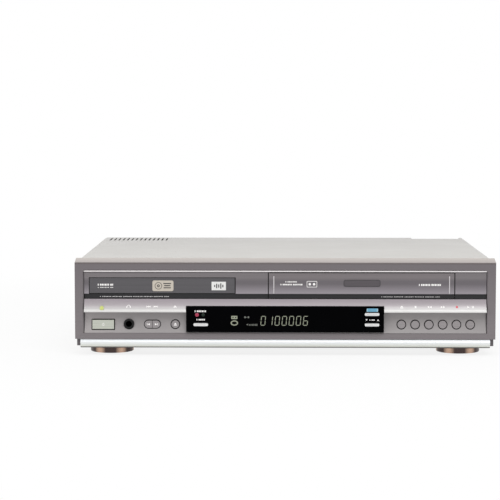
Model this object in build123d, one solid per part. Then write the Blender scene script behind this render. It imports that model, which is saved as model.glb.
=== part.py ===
from build123d import *
import math
import os

os.makedirs("parts", exist_ok=True)

# ---------------------------------------------------------------------------
# Driving sizes, in millimetres. x runs across the front, d runs back from the
# front plane of the bezel, z is the height above the floor.
# ---------------------------------------------------------------------------

# Fits and gaps
seam = 0.3             # between neighbouring mouldings and sheets
sheet_gap = 0.2        # between the cover and the pan inside it
panel_gap = 0.6        # round each panel and door in its opening
button_gap = 0.45      # round each button in its hole
running_gap = 0.05     # shaft in its bearing, on the radius
slide_gap = 0.5        # beside each slide
under_gap = 0.3        # below a part that slides or turns on another

# Case
bezel_width = 430.0
case_depth = 290.0
jack_reach = 8.0
bezel_depth = 15.0
bezel_wall = 2.5
cover_step = 3.0       # bezel side to cover side
sheet = 1.0
cover_corner = 4.0
pan_sheet = 1.2
pan_lift = 1.0         # cover edge above the underside of the pan
flange_height = 22.0
front_flange = 8.0

# Heights of the front, from the floor up
foot_height = 8.0
plinth_height = 8.9
bottom_band = 6.0
control_height = 22.0
legend_height = 13.4
strip_height = 5.1
door_height = 22.6
top_band = 9.2
bezel_rise = 3.8

# Feet
foot_radius = 22.5
foot_round = 1.0
foot_side = 35.0       # foot centre in from the bezel side
foot_front = 35.0
foot_back = 40.0       # foot centre in from the rear panel
pad_radius = 15.0
pad_height = 1.4
pad_show = 0.5

# Cover details
vent_count = 14
vent_pitch = 5.0
vent_width = 2.0
vent_length = 39.0
vent_side = 9.6        # first slot in from the cover side
vent_back = 5.0
pan_vent_in = 10.0     # first slot of the pan in from the end of the supply board
step_width = 56.0      # pressed step at the rear right of the cover
step_length = 15.0
step_depth = 1.5
step_side = 6.0

# Screws
screw_head = 3.5
screw_head_height = 2.0
screw_shank = 1.5
screw_length = 5.0
screw_height = 18.0
screw_front = 60.0
screw_back = 50.0
rear_screw_drop = 9.0
rear_screw_left = 15.0
rear_screw_middle = -8.0
rear_screw_right = 16.0

# Bezel opening and the panels in it
side_band = 9.0
accent = 2.0           # bevel above the doors
side_bevel = 1.0
bezel_edge = 1.0       # rounding along the top front edge
side_tab_in = 1.8      # tab beside the plinth, in from the bezel side
side_tab_drop = 7.0
side_tab_front = 2.0
panel_inset = 1.0      # doors behind the front plane
panel_wall = 2.2
rail_height = 4.0
legend_top = 1.0
legend_mid = -0.3
lip_reach = 4.0
lip_edge = 1.2
legend_wall = 2.0
legend_flange = 2.3
legend_back = 6.0
control_top = 4.2
control_mid = 3.2
control_foot = 0.4
control_flange = 1.1
control_back = 7.0

# Plinth
plinth_side = 5.5      # plinth end in from the bezel side
plinth_bulge = 1.4
plinth_wall = 2.4

# Tray door, on the left
tray_door_in = 89.5    # middle of the door in from the bezel side
tray_door_width = 149.0
tray_door_height = 15.6
tray_door_inset = 1.6
tray_door_wall = 2.4

# Cassette door, on the right
flap_left = -17.5
flap_width = 191.2
flap_pivot_d = 5.0
flap_pivot_rise = 4.0  # pivot above the top of the opening
flap_pin = 1.5
flap_boss = 1.9
flap_arm = 2.4
flap_arm_foot = 6.0
ear_width = 3.7
ear_depth = 4.8
ear_drop = 15.0

# Display window
window_left_in = 114.0  # window ends in from the bezel sides
window_right_in = 114.0
window_low = 24.4
window_high = 51.0
window_reach = 3.0
window_wall = 2.0
window_back = 6.5
window_gap = 0.2

# Keys
key_travel = 1.0
key_height = 31.9
key_face = 1.6
key_flange = 1.0
key_flange_front = 6.1
key_flange_width = 1.0
key_stem = 1.5
key_stem_length = 0.2
round_key = 4.1
round_key_in = 102.7   # open and close key in from the bezel side
transport_in = 95.9    # first transport key in from the bezel side
transport_pitch = 14.06
power_in = 28.8
power_z = 31.6
power_width = 22.4
power_height = 9.6
power_round = 0.6
power_face = 1.0
skip_in = 79.2
skip_width = 16.0
skip_height = 7.6
skip_split = 0.4
pill_width = 14.8
pill_height = 3.5
pill_reach = 0.8
select_in = 15.0       # window keys in from the window's ends
right_pill_in = 12.2
copy_z = 43.0
pill_z = 32.2
rocker_tilt = 4.0
rocker_depth = 4.8
rocker_pin = 0.8
rocker_pin_length = 2.0
rocker_ear = 3.0

# Lamp and jack
lamp_in = 27.8
lamp_z = 49.1
lamp_radius = 2.0
lamp_reach = 2.4
pipe_radius = 1.5
jack_in = 55.1
jack_z = 32.1
jack_radius = 5.4
jack_bore = 3.2
jack_bore_length = 30.0
jack_face = 1.2
jack_body = 13.0
jack_wall = 1.5

# Front board and display tube
board = 1.6
front_board_d = 12.0
front_board_in = 5.6   # board inside the ends of the panels
front_board_top = 52.0
switch_size = 6.0
switch_height = 3.5
tube_in = 37.5         # tube in from the window's ends
tube_low = 28.5
tube_high = 47.0
tube_front = 1.0
tube_depth = 6.0
tube_end = 9.0         # tube past its holder

# Boards on the pan
standoff = 4.8
standoff_radius = 3.0
chip_count = 3
chip_side = 24.0
chip_height = 3.0
chip_left = 56.2       # first chip in from the left edge of the board
chip_front = 45.0      # first chip in from the front edge of the board
chip_right = 8.0       # last chip in from the right edge of the board
chip_step_d = 55.0
transformer_side = 30.0
transformer_height = 27.0
capacitor_count = 3
capacitor_radius = 7.0
capacitor_height = 25.0
capacitor_gap = 2.8
fin_count = 6
fin = 1.5
fin_reach = 12.0
sink_height = 34.0
sink_back = 20.0       # heat sink in from the rear edge of its board
board_side = 5.8       # board edge in from the cover side
main_front = 45.0
board_gap = 4.0        # between the main board and the supply board
main_side_gap = 4.6    # between the main board and the deck
rear_board_side = 8.0  # between the supply board and the rear board
rear_board_in = 22.0   # rear board in from the cover side
rear_board_gap = 9.0   # between the deck and the rear board
board_rear = 4.0       # board edge in front of the rear panel face
supply_width = 98.2
supply_length = 60.0

# Rear sockets
socket_depth = 18.4
socket_face = 1.6
scart_in = 36.0        # sockets in from the end of the rear board
scart_width = 47.0
scart_height = 12.4
scart_body = 54.0
scart_low = 25.0
scart_pitch = 19.0
scart_groove = 2.4
scart_groove_depth = 9.0
tuner_x = 4.0
tuner_width = 50.0
tuner_inset = 1.7      # tuner in from the front edge of its board
tuner_height = 44.0
coax_radius = 4.75
coax_bore = 1.2
coax_collar = 6.2
coax_pitch = 24.0
coax_z = 38.0
phono_x = 84.0
phono_columns = 4
phono_rows = 2
phono_pitch = 18.0
phono_low = 28.0
phono_radius = 4.15
phono_collar = 5.6
phono_body_depth = 11.0
hole_gap = 0.4
inlet_in = 34.0
inlet_z = 28.0
inlet_width = 21.0
inlet_height = 13.0
inlet_slot_width = 16.0
inlet_slot_height = 8.4
inlet_slot_depth = 13.0
inlet_pin = 1.2
inlet_pin_pitch = 8.6

# Disc loader
tray_side = 5.5        # tray in from the side of its door
tray_length = 168.0
tray_thick = 6.0
tray_low = 67.0
tray_travel = 145.0
disc_d = 72.0
disc_pocket = 61.0
disc_pocket_depth = 2.0
small_pocket = 41.0
small_pocket_depth = 3.2
slot_half = 18.0
loader_wall = 2.5
loader_front = 16.5
loader_length = 168.5
loader_low = 44.0
loader_floor = 2.0
loader_top = 80.0
ledge_width = 6.0
ledge_thick = 1.6
loader_post = 4.0
loader_post_in = 5.5
well_half = 50.0
well_front = 42.0
well_back = 168.0

# Traverse with the disc motor and the laser
traverse_half = 48.0
traverse_front = 48.0
traverse_z = 50.0
traverse_thick = 2.0
traverse_pivot_d = 163.0
traverse_pin = 2.0
traverse_ear = 3.5
traverse_ear_half = 5.0
traverse_drop = 3.0    # degrees
pickup_start = 95.0
pickup_travel = 34.0
pickup_width = 48.0
pickup_length = 28.0
pickup_low = 54.0
pickup_height = 10.0
lens_radius = 4.0
lens_top = 71.0
rail_radius = 1.5
rail_x = 18.0
rail_z = 57.0
rail_block = 4.0
motor_radius = 11.0
motor_height = 10.0
table_radius = 15.0
table_thick = 3.0
table_top = 73.9
hub_radius = 7.4
hub_height = 1.6
spindle_radius = 1.5
table_boss = 5.0

# Clamp over the disc
bridge_width = 44.0
bridge_thick = 2.0
clamp_neck = 8.0
clamp_hole = 8.6
clamp_flange = 14.0
clamp_flange_thick = 2.2
clamp_rim = 12.0
clamp_rim_thick = 1.5
clamp_drop = 3.0

# Tray drive
gear_module = 1.2
gear_teeth = 16
gear_d = 28.0
gear_backlash = 0.8
tooth_addendum = 0.75  # stub teeth, in modules
tooth_dedendum = 1.1
pressure_angle = 20.0
rack_lead = 1.5        # teeth in front of the gear's middle
gear_thick = 2.4
rack_height = 3.0
rack_back = 2.4
rack_in = 4.0          # rack in from the tray side
rack_spare = 13.0      # rack past the travel
pulley_radius = 5.0
pulley_thick = 1.6
belt = 0.8
belt_span = 24.0
gear_shaft = 1.45
gear_post = 4.0
load_motor_radius = 9.0
load_motor_height = 13.0

# Tape deck
deck_sheet = 1.5
deck_z = 30.0
deck_front = 40.0
deck_back = 232.0
deck_margin = 2.2      # plate past the basket guides
deck_post = 4.0
deck_post_in = 8.0
cassette_width = 187.0
cassette_height = 25.0
cassette_gap = 0.7
basket_sheet = 1.0
basket_front = 38.5
basket_length = 90.0
basket_ledge = 12.0
basket_drop = 26.0
basket_pin = 1.5
basket_pin_front = 20.0
basket_pin_back = 70.0
carriage_sheet = 1.6
carriage_front = 45.0
carriage_length = 90.0
carriage_low = 42.0
carriage_bar = 15.0
carriage_travel = 24.0
carriage_rise = 0.8
guide_sheet = 1.5
guide_front = 42.0
guide_length = 130.0
guide_foot = 8.0
guide_pin_z = 81.0
reel_pitch = 98.0
reel_d = 105.0
reel_table = 12.0
reel_table_thick = 3.0
reel_hub = 4.5
reel_height = 14.0
reel_shaft = 2.0
reel_shaft_length = 5.0

# Head drum, tilted as the tape's helix asks
drum_d = 192.0
drum_radius = 31.0
drum_tilt = 6.0
drum_low = 38.0
lower_drum_height = 15.0
upper_drum_height = 16.0
drum_base = 24.0
drum_shaft = 3.0
drum_shaft_length = 10.0

# Capstan and pinch roller
capstan_offset = 38.0  # capstan right of the middle of the deck
capstan_d = 172.0
capstan_radius = 2.0
capstan_top = 58.0
bearing_radius = 6.0
bearing_drop = 1.2     # bearing below the pinch arm
bearing_flange = 7.0
rotor_radius = 26.0
rotor_low = 19.5
rotor_thick = 6.0
stator_half = 29.0
stator_low = 16.6
stator_post = 2.5
roller_radius = 6.5
roller_low = 40.0
roller_height = 18.0
roller_gap = 0.3
roller_reach = 18.4
roller_swing = 35.0
arm_thick = 2.5
arm_half = 4.0
arm_post = 3.0
arm_pin = 2.0
arm_lean = 28.5        # degrees, from the capstan to the arm's pivot

# Fixed heads beside the drum
head_width = 9.0
head_depth = 6.0
head_height = 18.0
head_base = 6.0
erase_head_x = -50.0   # from the middle of the deck
erase_head_back = 24.0  # behind the lowest basket's rear edge
sound_head_x = 27.0
sound_head_back = 8.0

# ---------------------------------------------------------------------------
# Places worked out from the sizes
# ---------------------------------------------------------------------------
front_y = (lip_reach - case_depth - jack_reach) / 2
bezel_half = bezel_width / 2
cover_half = bezel_half - cover_step
tray_door_x = tray_door_in - bezel_half
window_x = (window_left_in - window_right_in) / 2
window_width = bezel_width - window_left_in - window_right_in
round_key_x = round_key_in - bezel_half
transport_first = bezel_half - transport_in
power_x = power_in - bezel_half
skip_x = skip_in - bezel_half
select_x = window_x - window_width / 2 + select_in
right_pill_x = window_x + window_width / 2 - right_pill_in
lamp_x = lamp_in - bezel_half
jack_x = jack_in - bezel_half
tube_width = window_width - 2 * tube_in
tube_holder = tube_width - 2 * tube_end
inlet_x = inlet_in - cover_half
rear_screw_places = (rear_screw_left - cover_half, rear_screw_middle, cover_half - rear_screw_right)
opening_half = bezel_half - side_band
panel_half = opening_half - panel_gap
front_board_side = panel_half - front_board_in
pan_half = cover_half - sheet - sheet_gap
pan_top = foot_height + pan_sheet
bezel_low = foot_height + plinth_height
opening_low = bezel_low + bottom_band
legend_low = opening_low + control_height
strip_low = legend_low + legend_height
door_low = strip_low + strip_height
opening_top = door_low + door_height
bezel_top = opening_top + top_band
case_top = bezel_top + bezel_rise
shell_front = bezel_depth + seam
rear_in = case_depth - seam - sheet
board_low = pan_top + standoff
board_top = board_low + board
surround_back = panel_inset + 2 * panel_wall
flap_right = flap_left + flap_width
deck_x = (flap_left + flap_right) / 2
capstan_x = deck_x + capstan_offset
flap_pivot_z = opening_top + flap_pivot_rise
deck_top = deck_z + deck_sheet
tray_top = tray_low + tray_thick
basket_in = cassette_width / 2 + cassette_gap
basket_out = basket_in + basket_sheet
carriage_in = basket_out + slide_gap
carriage_out = carriage_in + carriage_sheet
guide_in = carriage_out + slide_gap
guide_out = guide_in + guide_sheet
deck_half = guide_out + deck_margin


# ---------------------------------------------------------------------------
# Shapes placed by x, d and z
# ---------------------------------------------------------------------------
def block(x0, x1, d0, d1, z0, z1):
    middle = ((x0 + x1) / 2, front_y + (d0 + d1) / 2, (z0 + z1) / 2)
    return Pos(*middle) * Box(x1 - x0, d1 - d0, z1 - z0)


def round_x(d, z, x0, x1, radius):
    return Pos((x0 + x1) / 2, front_y + d, z) * Rot(0, 90, 0) * Cylinder(radius, x1 - x0)


def round_y(x, z, d0, d1, radius):
    return Pos(x, front_y + (d0 + d1) / 2, z) * Rot(90, 0, 0) * Cylinder(radius, d1 - d0)


def round_z(x, d, z0, z1, radius):
    return Pos(x, front_y + d, (z0 + z1) / 2) * Cylinder(radius, z1 - z0)


def pill_y(x, z, d0, d1, width, height):
    """A slot-shaped bar along the depth."""
    outline = SlotOverall(width, height)
    face = Pos(x, front_y + d1, z) * Rot(90, 0, 0) * outline
    return extrude(face, amount=d1 - d0, dir=(0, -1, 0))


def section_x(lines, x0, x1):
    """A section drawn in d and z, drawn out across from x0 to x1."""
    face = Plane.YZ.offset(x0) * Pos(front_y, 0) * make_face(lines)
    return extrude(face, amount=x1 - x0, dir=(1, 0, 0))


def plate_z(points, z0, z1):
    """A plate whose outline is drawn in x and d."""
    face = Pos(0, front_y, z0) * make_face(Polyline(*points, close=True))
    return extrude(face, amount=z1 - z0, dir=(0, 0, 1))


def edges_along(shape, axis, d, z):
    """The edges along an axis whose middle lies at d and z."""
    found = shape.edges().filter_by(axis)
    return found.filter_by(lambda e: math.hypot(e.center().Y - front_y - d, e.center().Z - z) < seam)


def save(name, *pieces):
    solids = [solid for piece in pieces for solid in piece.solids()]
    shape = solids[0] if len(solids) == 1 else Compound(solids)
    export_step(shape, f"parts/{name}.step")


# ---------------------------------------------------------------------------
# Case
# ---------------------------------------------------------------------------
foot_places = [
    (side * (bezel_half - foot_side), depth)
    for side in (-1, 1)
    for depth in (foot_front, case_depth - foot_back)
]
tray_width = tray_door_width - 2 * tray_side
loader_left = tray_door_x - tray_door_width / 2
loader_right = tray_door_x + tray_door_width / 2
loader_back = loader_front + loader_length
loader_posts = [
    (x, d)
    for x in (loader_left + loader_post_in, loader_right - loader_post_in)
    for d in (loader_front + loader_post_in, loader_back - loader_post_in)
]
deck_posts = [
    (deck_x + side * (deck_half - deck_post_in), d)
    for side in (-1, 1)
    for d in (deck_front + deck_post_in, deck_back - deck_post_in)
]
board_left = -cover_half + board_side
board_back = case_depth - board_rear
supply_left = board_left
supply_right = supply_left + supply_width
main_right = deck_x - deck_half - main_side_gap
rear_board_left = supply_right + rear_board_side
rear_board_right = cover_half - rear_board_in
scart_x = rear_board_left + scart_in
supply_front = board_back - supply_length
main_back = supply_front - board_gap
rear_board_front = deck_back + rear_board_gap


def inside_corners(x0, x1, d0, d1, inset):
    return [(x, d) for x in (x0 + inset, x1 - inset) for d in (d0 + inset, d1 - inset)]


standoffs = (
    inside_corners(board_left, main_right, main_front, main_back, 2 * standoff_radius)
    + inside_corners(main_right, rear_board_right, rear_board_front, board_back, 2 * standoff_radius)
    + inside_corners(supply_left, supply_right, supply_front, board_back, 2 * standoff_radius)
)
side_screws = [(side, d) for side in (-1, 1) for d in (screw_front, case_depth - screw_back)]
rear_screw_z = case_top - rear_screw_drop


def side_bore(shape, radius):
    for side, d in side_screws:
        wall = side * cover_half
        shape -= round_x(d, screw_height, wall - screw_length, wall + screw_length, radius)
    return shape


def bottom_chassis():
    low = foot_height
    pan = block(-pan_half, pan_half, shell_front, rear_in + sheet, low, pan_top)
    for side in (-1, 1):
        wall_x = sorted((side * pan_half, side * (pan_half - pan_sheet)))
        pan += block(*wall_x, shell_front, rear_in - seam, low, low + flange_height)
    pan += block(-pan_half, pan_half, shell_front, shell_front + pan_sheet, low, low + front_flange)
    for x, d in standoffs:
        pan += round_z(x, d, pan_top, board_low, standoff_radius)
    for x, d in loader_posts:
        pan += round_z(x, d, pan_top, loader_low, loader_post)
    for x, d in deck_posts:
        pan += round_z(x, d, pan_top, deck_z, deck_post)
    middle = (supply_front + board_back) / 2
    for number in range(vent_count):
        x = supply_left + pan_vent_in + number * vent_pitch
        pan -= block(x, x + vent_width, middle - vent_length / 2, middle + vent_length / 2, low, pan_top)
    return side_bore(pan, screw_shank + running_gap)


def top_cover():
    low = foot_height + pan_lift
    outer = block(-cover_half, cover_half, shell_front, case_depth, low, case_top)
    outer = fillet(outer.edges().filter_by(Axis.Y).group_by(Axis.Z)[-1], cover_corner)
    inner_half = cover_half - sheet
    inner = block(-inner_half, inner_half, shell_front, case_depth, low, case_top - sheet)
    inner = fillet(inner.edges().filter_by(Axis.Y).group_by(Axis.Z)[-1], cover_corner - sheet)
    cover = outer - inner
    step_right = cover_half - step_side
    step_left = step_right - step_width
    step_front = case_depth - step_length
    step_top = case_top - step_depth
    skin = case_top - sheet
    floor = step_top - sheet
    cover += block(step_left - sheet, step_right + sheet, step_front - sheet, case_depth, floor, skin)
    cover -= block(step_left, step_right, step_front, case_depth, step_top, case_top)
    for number in range(vent_count):
        x = -cover_half + vent_side + number * vent_pitch
        back = case_depth - vent_back
        cover -= block(x, x + vent_width, back - vent_length, back, skin, case_top)
    return side_bore(cover, screw_shank + running_gap)


def phono_places():
    return [
        (phono_x + column * phono_pitch, phono_low + row * phono_pitch)
        for column in range(phono_columns)
        for row in range(phono_rows)
    ]


def coax_places():
    middle = tuner_x + tuner_width / 2
    return [(middle - coax_pitch / 2, coax_z), (middle + coax_pitch / 2, coax_z)]


def rear_panel():
    half = pan_half
    panel = block(-half, half, rear_in, rear_in + sheet, pan_top, case_top - sheet - sheet_gap)
    panel = fillet(panel.edges().filter_by(Axis.Y).group_by(Axis.Z)[-1], cover_corner - sheet)
    step_right = cover_half - step_side + sheet + sheet_gap
    step_left = step_right - step_width - 2 * (sheet + sheet_gap)
    step_low = case_top - step_depth - sheet - sheet_gap
    panel -= block(step_left, step_right, rear_in, case_depth, step_low, case_top)
    for level in range(2):
        z = scart_low + level * scart_pitch
        half_x = scart_width / 2 + hole_gap
        half_z = scart_height / 2 + hole_gap
        panel -= block(scart_x - half_x, scart_x + half_x, rear_in, case_depth, z - half_z, z + half_z)
    for x, z in coax_places():
        panel -= round_y(x, z, rear_in, case_depth, coax_collar + hole_gap)
    for x, z in phono_places():
        panel -= round_y(x, z, rear_in, case_depth, phono_collar + hole_gap)
    half_x = inlet_width / 2 + hole_gap
    low = inlet_z - inlet_height / 2 - hole_gap
    high = inlet_z + inlet_height / 2 + hole_gap
    panel -= block(inlet_x - half_x, inlet_x + half_x, rear_in, case_depth, low, high)
    for x in rear_screw_places:
        panel -= round_y(x, rear_screw_z, rear_in, case_depth, screw_shank + running_gap)
    return panel


def case_screws():
    screws = []
    for side, d in side_screws:
        head = sorted((side * cover_half, side * (cover_half + screw_head_height)))
        shank = sorted((side * cover_half, side * (cover_half - screw_length)))
        screw = round_x(d, screw_height, *head, screw_head)
        screws.append(screw + round_x(d, screw_height, *shank, screw_shank))
    face = rear_in + sheet
    for x in rear_screw_places:
        screw = round_y(x, rear_screw_z, face, face + screw_head_height, screw_head)
        screws.append(screw + round_y(x, rear_screw_z, face - screw_length, face, screw_shank))
    return screws


def feet():
    made = []
    for x, d in foot_places:
        foot = round_z(x, d, pad_show, foot_height, foot_radius)
        foot = fillet(foot.edges().filter_by(GeomType.CIRCLE).group_by(Axis.Z)[0], foot_round)
        made.append(foot - round_z(x, d, pad_show, pad_height, pad_radius + seam))
    return made


def foot_pads():
    return [round_z(x, d, 0, pad_height, pad_radius) for x, d in foot_places]


def front_bezel():
    back = bezel_depth
    outline = Polyline((0, bezel_low), (0, bezel_top), (back, case_top), (back, bezel_low), close=True)
    bezel = section_x(outline, -bezel_half, bezel_half)
    bezel = fillet(edges_along(bezel, Axis.X, 0, bezel_top), bezel_edge)
    hollow = Polyline(
        (bezel_wall, bezel_low + bezel_wall),
        (bezel_wall, bezel_top - bezel_wall),
        (back, case_top - bezel_wall),
        (back, bezel_low + bezel_wall),
        close=True,
    )
    inner_half = bezel_half - bezel_wall
    bezel -= section_x(hollow, -inner_half, inner_half)
    bezel -= block(-opening_half, opening_half, 0, bezel_wall, opening_low, opening_top)
    bevel = Polyline((0, opening_top), (0, opening_top + accent), (accent, opening_top), close=True)
    bezel -= section_x(bevel, -opening_half, opening_half)
    for side in (-1, 1):
        corner = side * opening_half
        points = [(corner, 0), (corner + side * side_bevel, 0), (corner, side_bevel)]
        bezel -= plate_z(points, opening_low, opening_top)
        tab = sorted((side * (bezel_half - side_tab_in), side * (bezel_half - plinth_side + seam)))
        bezel += block(*tab, side_tab_front, back, bezel_low - side_tab_drop, bezel_low)
    return bezel


def base_plinth():
    low = foot_height
    high = bezel_low - sheet_gap
    middle = (low + high) / 2
    nose = ThreePointArc((sheet, high), (-plinth_bulge, middle), (sheet, low))
    rest = Polyline((sheet, low), (bezel_depth, low), (bezel_depth, high), (sheet, high))
    half = bezel_half - plinth_side
    plinth = section_x(nose + rest, -half, half)
    inner = half - plinth_wall
    return plinth - block(-inner, inner, plinth_wall, bezel_depth, low + plinth_wall, high - plinth_wall)


# ---------------------------------------------------------------------------
# Panels of the front
# ---------------------------------------------------------------------------
def door_section(low, high):
    """The stepped wall that carries the door panels above the dark strip."""
    front = panel_inset
    step = front + panel_wall
    web = door_low + panel_wall
    return Polyline(
        (front, high), (front, door_low), (step, door_low), (step, low),
        (surround_back, low), (surround_back, web), (step, web), (step, high),
        close=True,
    )


def flap_ears():
    step = panel_inset + panel_wall
    top = flap_pivot_z + flap_pin + seam
    for side, x in ((-1, flap_left - panel_gap), (1, flap_right + panel_gap)):
        span = sorted((x, x + side * ear_width))
        ear = block(*span, step, step + ear_depth, opening_top - ear_drop, top)
        yield ear - round_x(flap_pivot_d, flap_pivot_z, *span, flap_pin + running_gap)


def door_surround():
    high = opening_top - panel_gap
    surround = section_x(door_section(strip_low, high), -panel_half, panel_half)
    step = panel_inset + panel_wall
    rail_low = strip_low - rail_height
    rail_top = strip_low - seam
    surround += block(-panel_half, panel_half, step + sheet_gap, surround_back, rail_low, strip_low + seam)
    surround -= block(flap_left, flap_right, 0, bezel_depth, rail_top, case_top)
    half = tray_door_width / 2 + panel_gap
    top = door_low + tray_door_height + 2 * panel_gap
    surround -= block(tray_door_x - half, tray_door_x + half, 0, bezel_depth, door_low, top)
    for ear in flap_ears():
        surround += ear
    return surround


def cassette_flap():
    left = flap_left + panel_gap
    right = flap_right - panel_gap
    low = strip_low + sheet_gap
    high = opening_top - panel_gap - panel_gap
    flap = section_x(door_section(low, high), left, right)
    for side, x in ((1, left), (-1, right)):
        span = sorted((x, x + side * flap_arm))
        arm = Polyline(
            (panel_inset + sheet, high - flap_arm_foot),
            (surround_back, high - flap_arm_foot),
            (flap_pivot_d + flap_boss, flap_pivot_z),
            (flap_pivot_d - flap_boss, flap_pivot_z),
            close=True,
        )
        flap += section_x(arm, *span)
        flap += round_x(flap_pivot_d, flap_pivot_z, *span, flap_boss)
        pin = sorted((x, x - side * (2 * panel_gap + ear_width - seam)))
        flap += round_x(flap_pivot_d, flap_pivot_z, *pin, flap_pin)
    return flap


def legend_surface(z):
    """Depth of the front of the legend strip at a height, on its chord."""
    share = (strip_low - z) / (strip_low - legend_low)
    return legend_top - share * (legend_top + lip_reach)


def legend_strip():
    high = strip_low - seam
    low = legend_low
    lip = low + lip_edge
    middle = (high + lip) / 2
    front = ThreePointArc((legend_top, high), (legend_mid, middle), (-lip_reach, lip))
    under = Polyline(
        (-lip_reach, lip), (-lip_reach, low), (legend_back, low),
        (legend_back, low + legend_flange), (legend_wall - legend_back / 2, low + legend_flange),
    )
    back = ThreePointArc(
        (legend_wall - legend_back / 2, low + legend_flange),
        (legend_mid + legend_wall, middle),
        (legend_top + legend_wall, high),
    )
    top = Line((legend_top + legend_wall, high), (legend_top, high))
    strip = section_x(front + under + back + top, -panel_half, panel_half)
    half = window_width / 2 + window_gap
    near = -2 * lip_reach
    far = 2 * legend_back
    strip -= block(window_x - half, window_x + half, near, far, low, window_high + window_gap)
    return strip - round_y(lamp_x, lamp_z, near, far, lamp_radius + running_gap)


def key_places():
    """Name, x and z of each round key."""
    places = [("open_close_button", round_key_x, key_height)]
    for number, name in enumerate(("eject", "stop", "rewind", "forward", "record", "play")):
        places.append((f"{name}_button", transport_first + number * transport_pitch, key_height))
    return places


def control_panel():
    low = opening_low + sheet_gap
    high = legend_low - sheet_gap
    middle = (low + high) / 2
    front = ThreePointArc((control_top, high), (control_mid, middle), (control_foot, low))
    base = Polyline(
        (control_foot, low), (control_back, low), (control_back, low + control_flange),
        (control_foot + panel_wall, low + control_flange),
    )
    back = ThreePointArc(
        (control_foot + panel_wall, low + control_flange),
        (control_mid + panel_wall, middle),
        (control_top + panel_wall, high),
    )
    top = Line((control_top + panel_wall, high), (control_top, high))
    panel = section_x(front + base + back + top, -panel_half, panel_half)
    half = window_width / 2 + window_gap
    panel -= block(window_x - half, window_x + half, 0, control_back, window_low - window_gap, legend_low)
    panel -= power_plate(button_gap, 0, control_back)
    wide = skip_width + 2 * button_gap
    tall = skip_height + 2 * button_gap
    panel -= pill_y(skip_x, key_height, 0, control_back, wide, tall)
    for name, x, z in key_places():
        panel -= round_y(x, z, 0, control_back, round_key + button_gap)
    return panel - round_y(jack_x, jack_z, 0, control_back, jack_radius + running_gap)


def rocker_pivot():
    """Depth of the rocker's pivot behind the front plane."""
    return rocker_depth - window_reach - pill_reach - rocker_pin + seam


def display_window():
    left = window_x - window_width / 2
    right = window_x + window_width / 2
    front = -window_reach
    window = block(left, right, front, window_back, window_low, window_high)
    window = fillet(edges_along(window, Axis.X, front, window_high), pill_reach)
    wall = window_wall
    back = front + wall
    window -= block(left + wall, right - wall, back, window_back, window_low + wall, window_high - wall)
    wide = pill_width + 2 * button_gap
    tall = pill_height + 2 * button_gap
    for x, z in ((select_x, pill_z), (right_pill_x, copy_z), (right_pill_x, pill_z)):
        window -= pill_y(x, z, front, back, wide, tall)
    pivot = rocker_pivot()
    near = pill_height / 2 + button_gap
    far = near + rocker_pin_length - button_gap + seam
    for side in (-1, 1):
        span = sorted((pill_z + side * near, pill_z + side * far))
        half = rocker_ear / 2
        ear = block(right_pill_x - half, right_pill_x + half, back, pivot + half, *span)
        window += ear - round_z(right_pill_x, pivot, *span, rocker_pin + running_gap)
    return window


# ---------------------------------------------------------------------------
# Keys
# ---------------------------------------------------------------------------
key_back = key_flange_front + key_flange
stem_end = key_back + key_stem_length
switch_front = front_board_d - switch_height


def key_tail(x, z):
    return round_y(x, z, key_back, stem_end, key_stem)


def round_button(x, z):
    key = round_y(x, z, key_face, key_flange_front, round_key)
    key = fillet(key.edges().filter_by(GeomType.CIRCLE).group_by(Axis.Y)[0], seam)
    key += round_y(x, z, key_flange_front, key_back, round_key + button_gap + key_flange_width)
    return key + key_tail(x, z)


def power_plate(grown, front, back):
    """The power key's outline, grown all round, between two depths."""
    half_x = power_width / 2 + grown
    half_z = power_height / 2 + grown
    return block(power_x - half_x, power_x + half_x, front, back, power_z - half_z, power_z + half_z)


def power_button():
    key = power_plate(0, power_face, key_flange_front)
    key = fillet(key.edges().group_by(Axis.Y)[0], power_round)
    key += power_plate(button_gap + key_flange_width, key_flange_front, key_back)
    return key + key_tail(power_x, power_z)


def skip_button(side):
    """One half of the split pill, on the left for -1 and on the right for 1."""
    pill = pill_y(skip_x, key_height, key_face, key_flange_front, skip_width, skip_height)
    wide = skip_width + 2 * button_gap + 2 * key_flange_width
    tall = skip_height + 2 * button_gap + 2 * key_flange_width
    pill += pill_y(skip_x, key_height, key_flange_front, key_back, wide, tall)
    half = sorted((skip_x + side * skip_split / 2, skip_x + side * skip_width))
    pill &= block(*half, 0, front_board_d, key_height - skip_height, key_height + skip_height)
    return pill + key_tail(skip_x + side * skip_width / 4, key_height)


def pill_button(x, z):
    """A key that comes through the display window."""
    back = -window_reach + window_wall
    flange = back + under_gap
    key = pill_y(x, z, -window_reach - pill_reach, flange, pill_width, pill_height)
    grown = 2 * button_gap + key_flange_width
    key += pill_y(x, z, flange, flange + key_flange, pill_width + grown, pill_height + grown)
    return key + round_y(x, z, flange + key_flange, stem_end, key_stem)


def channel_rocker():
    x = right_pill_x
    front = -window_reach - pill_reach
    key = pill_y(x, pill_z, front, front + rocker_depth, pill_width, pill_height)
    reach = pill_height / 2 + rocker_pin_length
    return key + round_z(x, rocker_pivot(), pill_z - reach, pill_z + reach, rocker_pin)


def power_led_lens():
    front = legend_surface(lamp_z)
    lens = round_y(lamp_x, lamp_z, front - lamp_reach / 2, legend_back, lamp_radius)
    return lens + round_y(lamp_x, lamp_z, legend_back, front_board_d, pipe_radius)


def headphone_jack():
    half = jack_body / 2
    back = jack_face + jack_bore_length + jack_wall
    jack = round_y(jack_x, jack_z, jack_face, control_back + seam, jack_radius)
    jack += block(jack_x - half, jack_x + half, control_back + seam, back, jack_z - half, jack_z + half)
    return jack - round_y(jack_x, jack_z, jack_face, jack_face + jack_bore_length, jack_bore)


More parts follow.
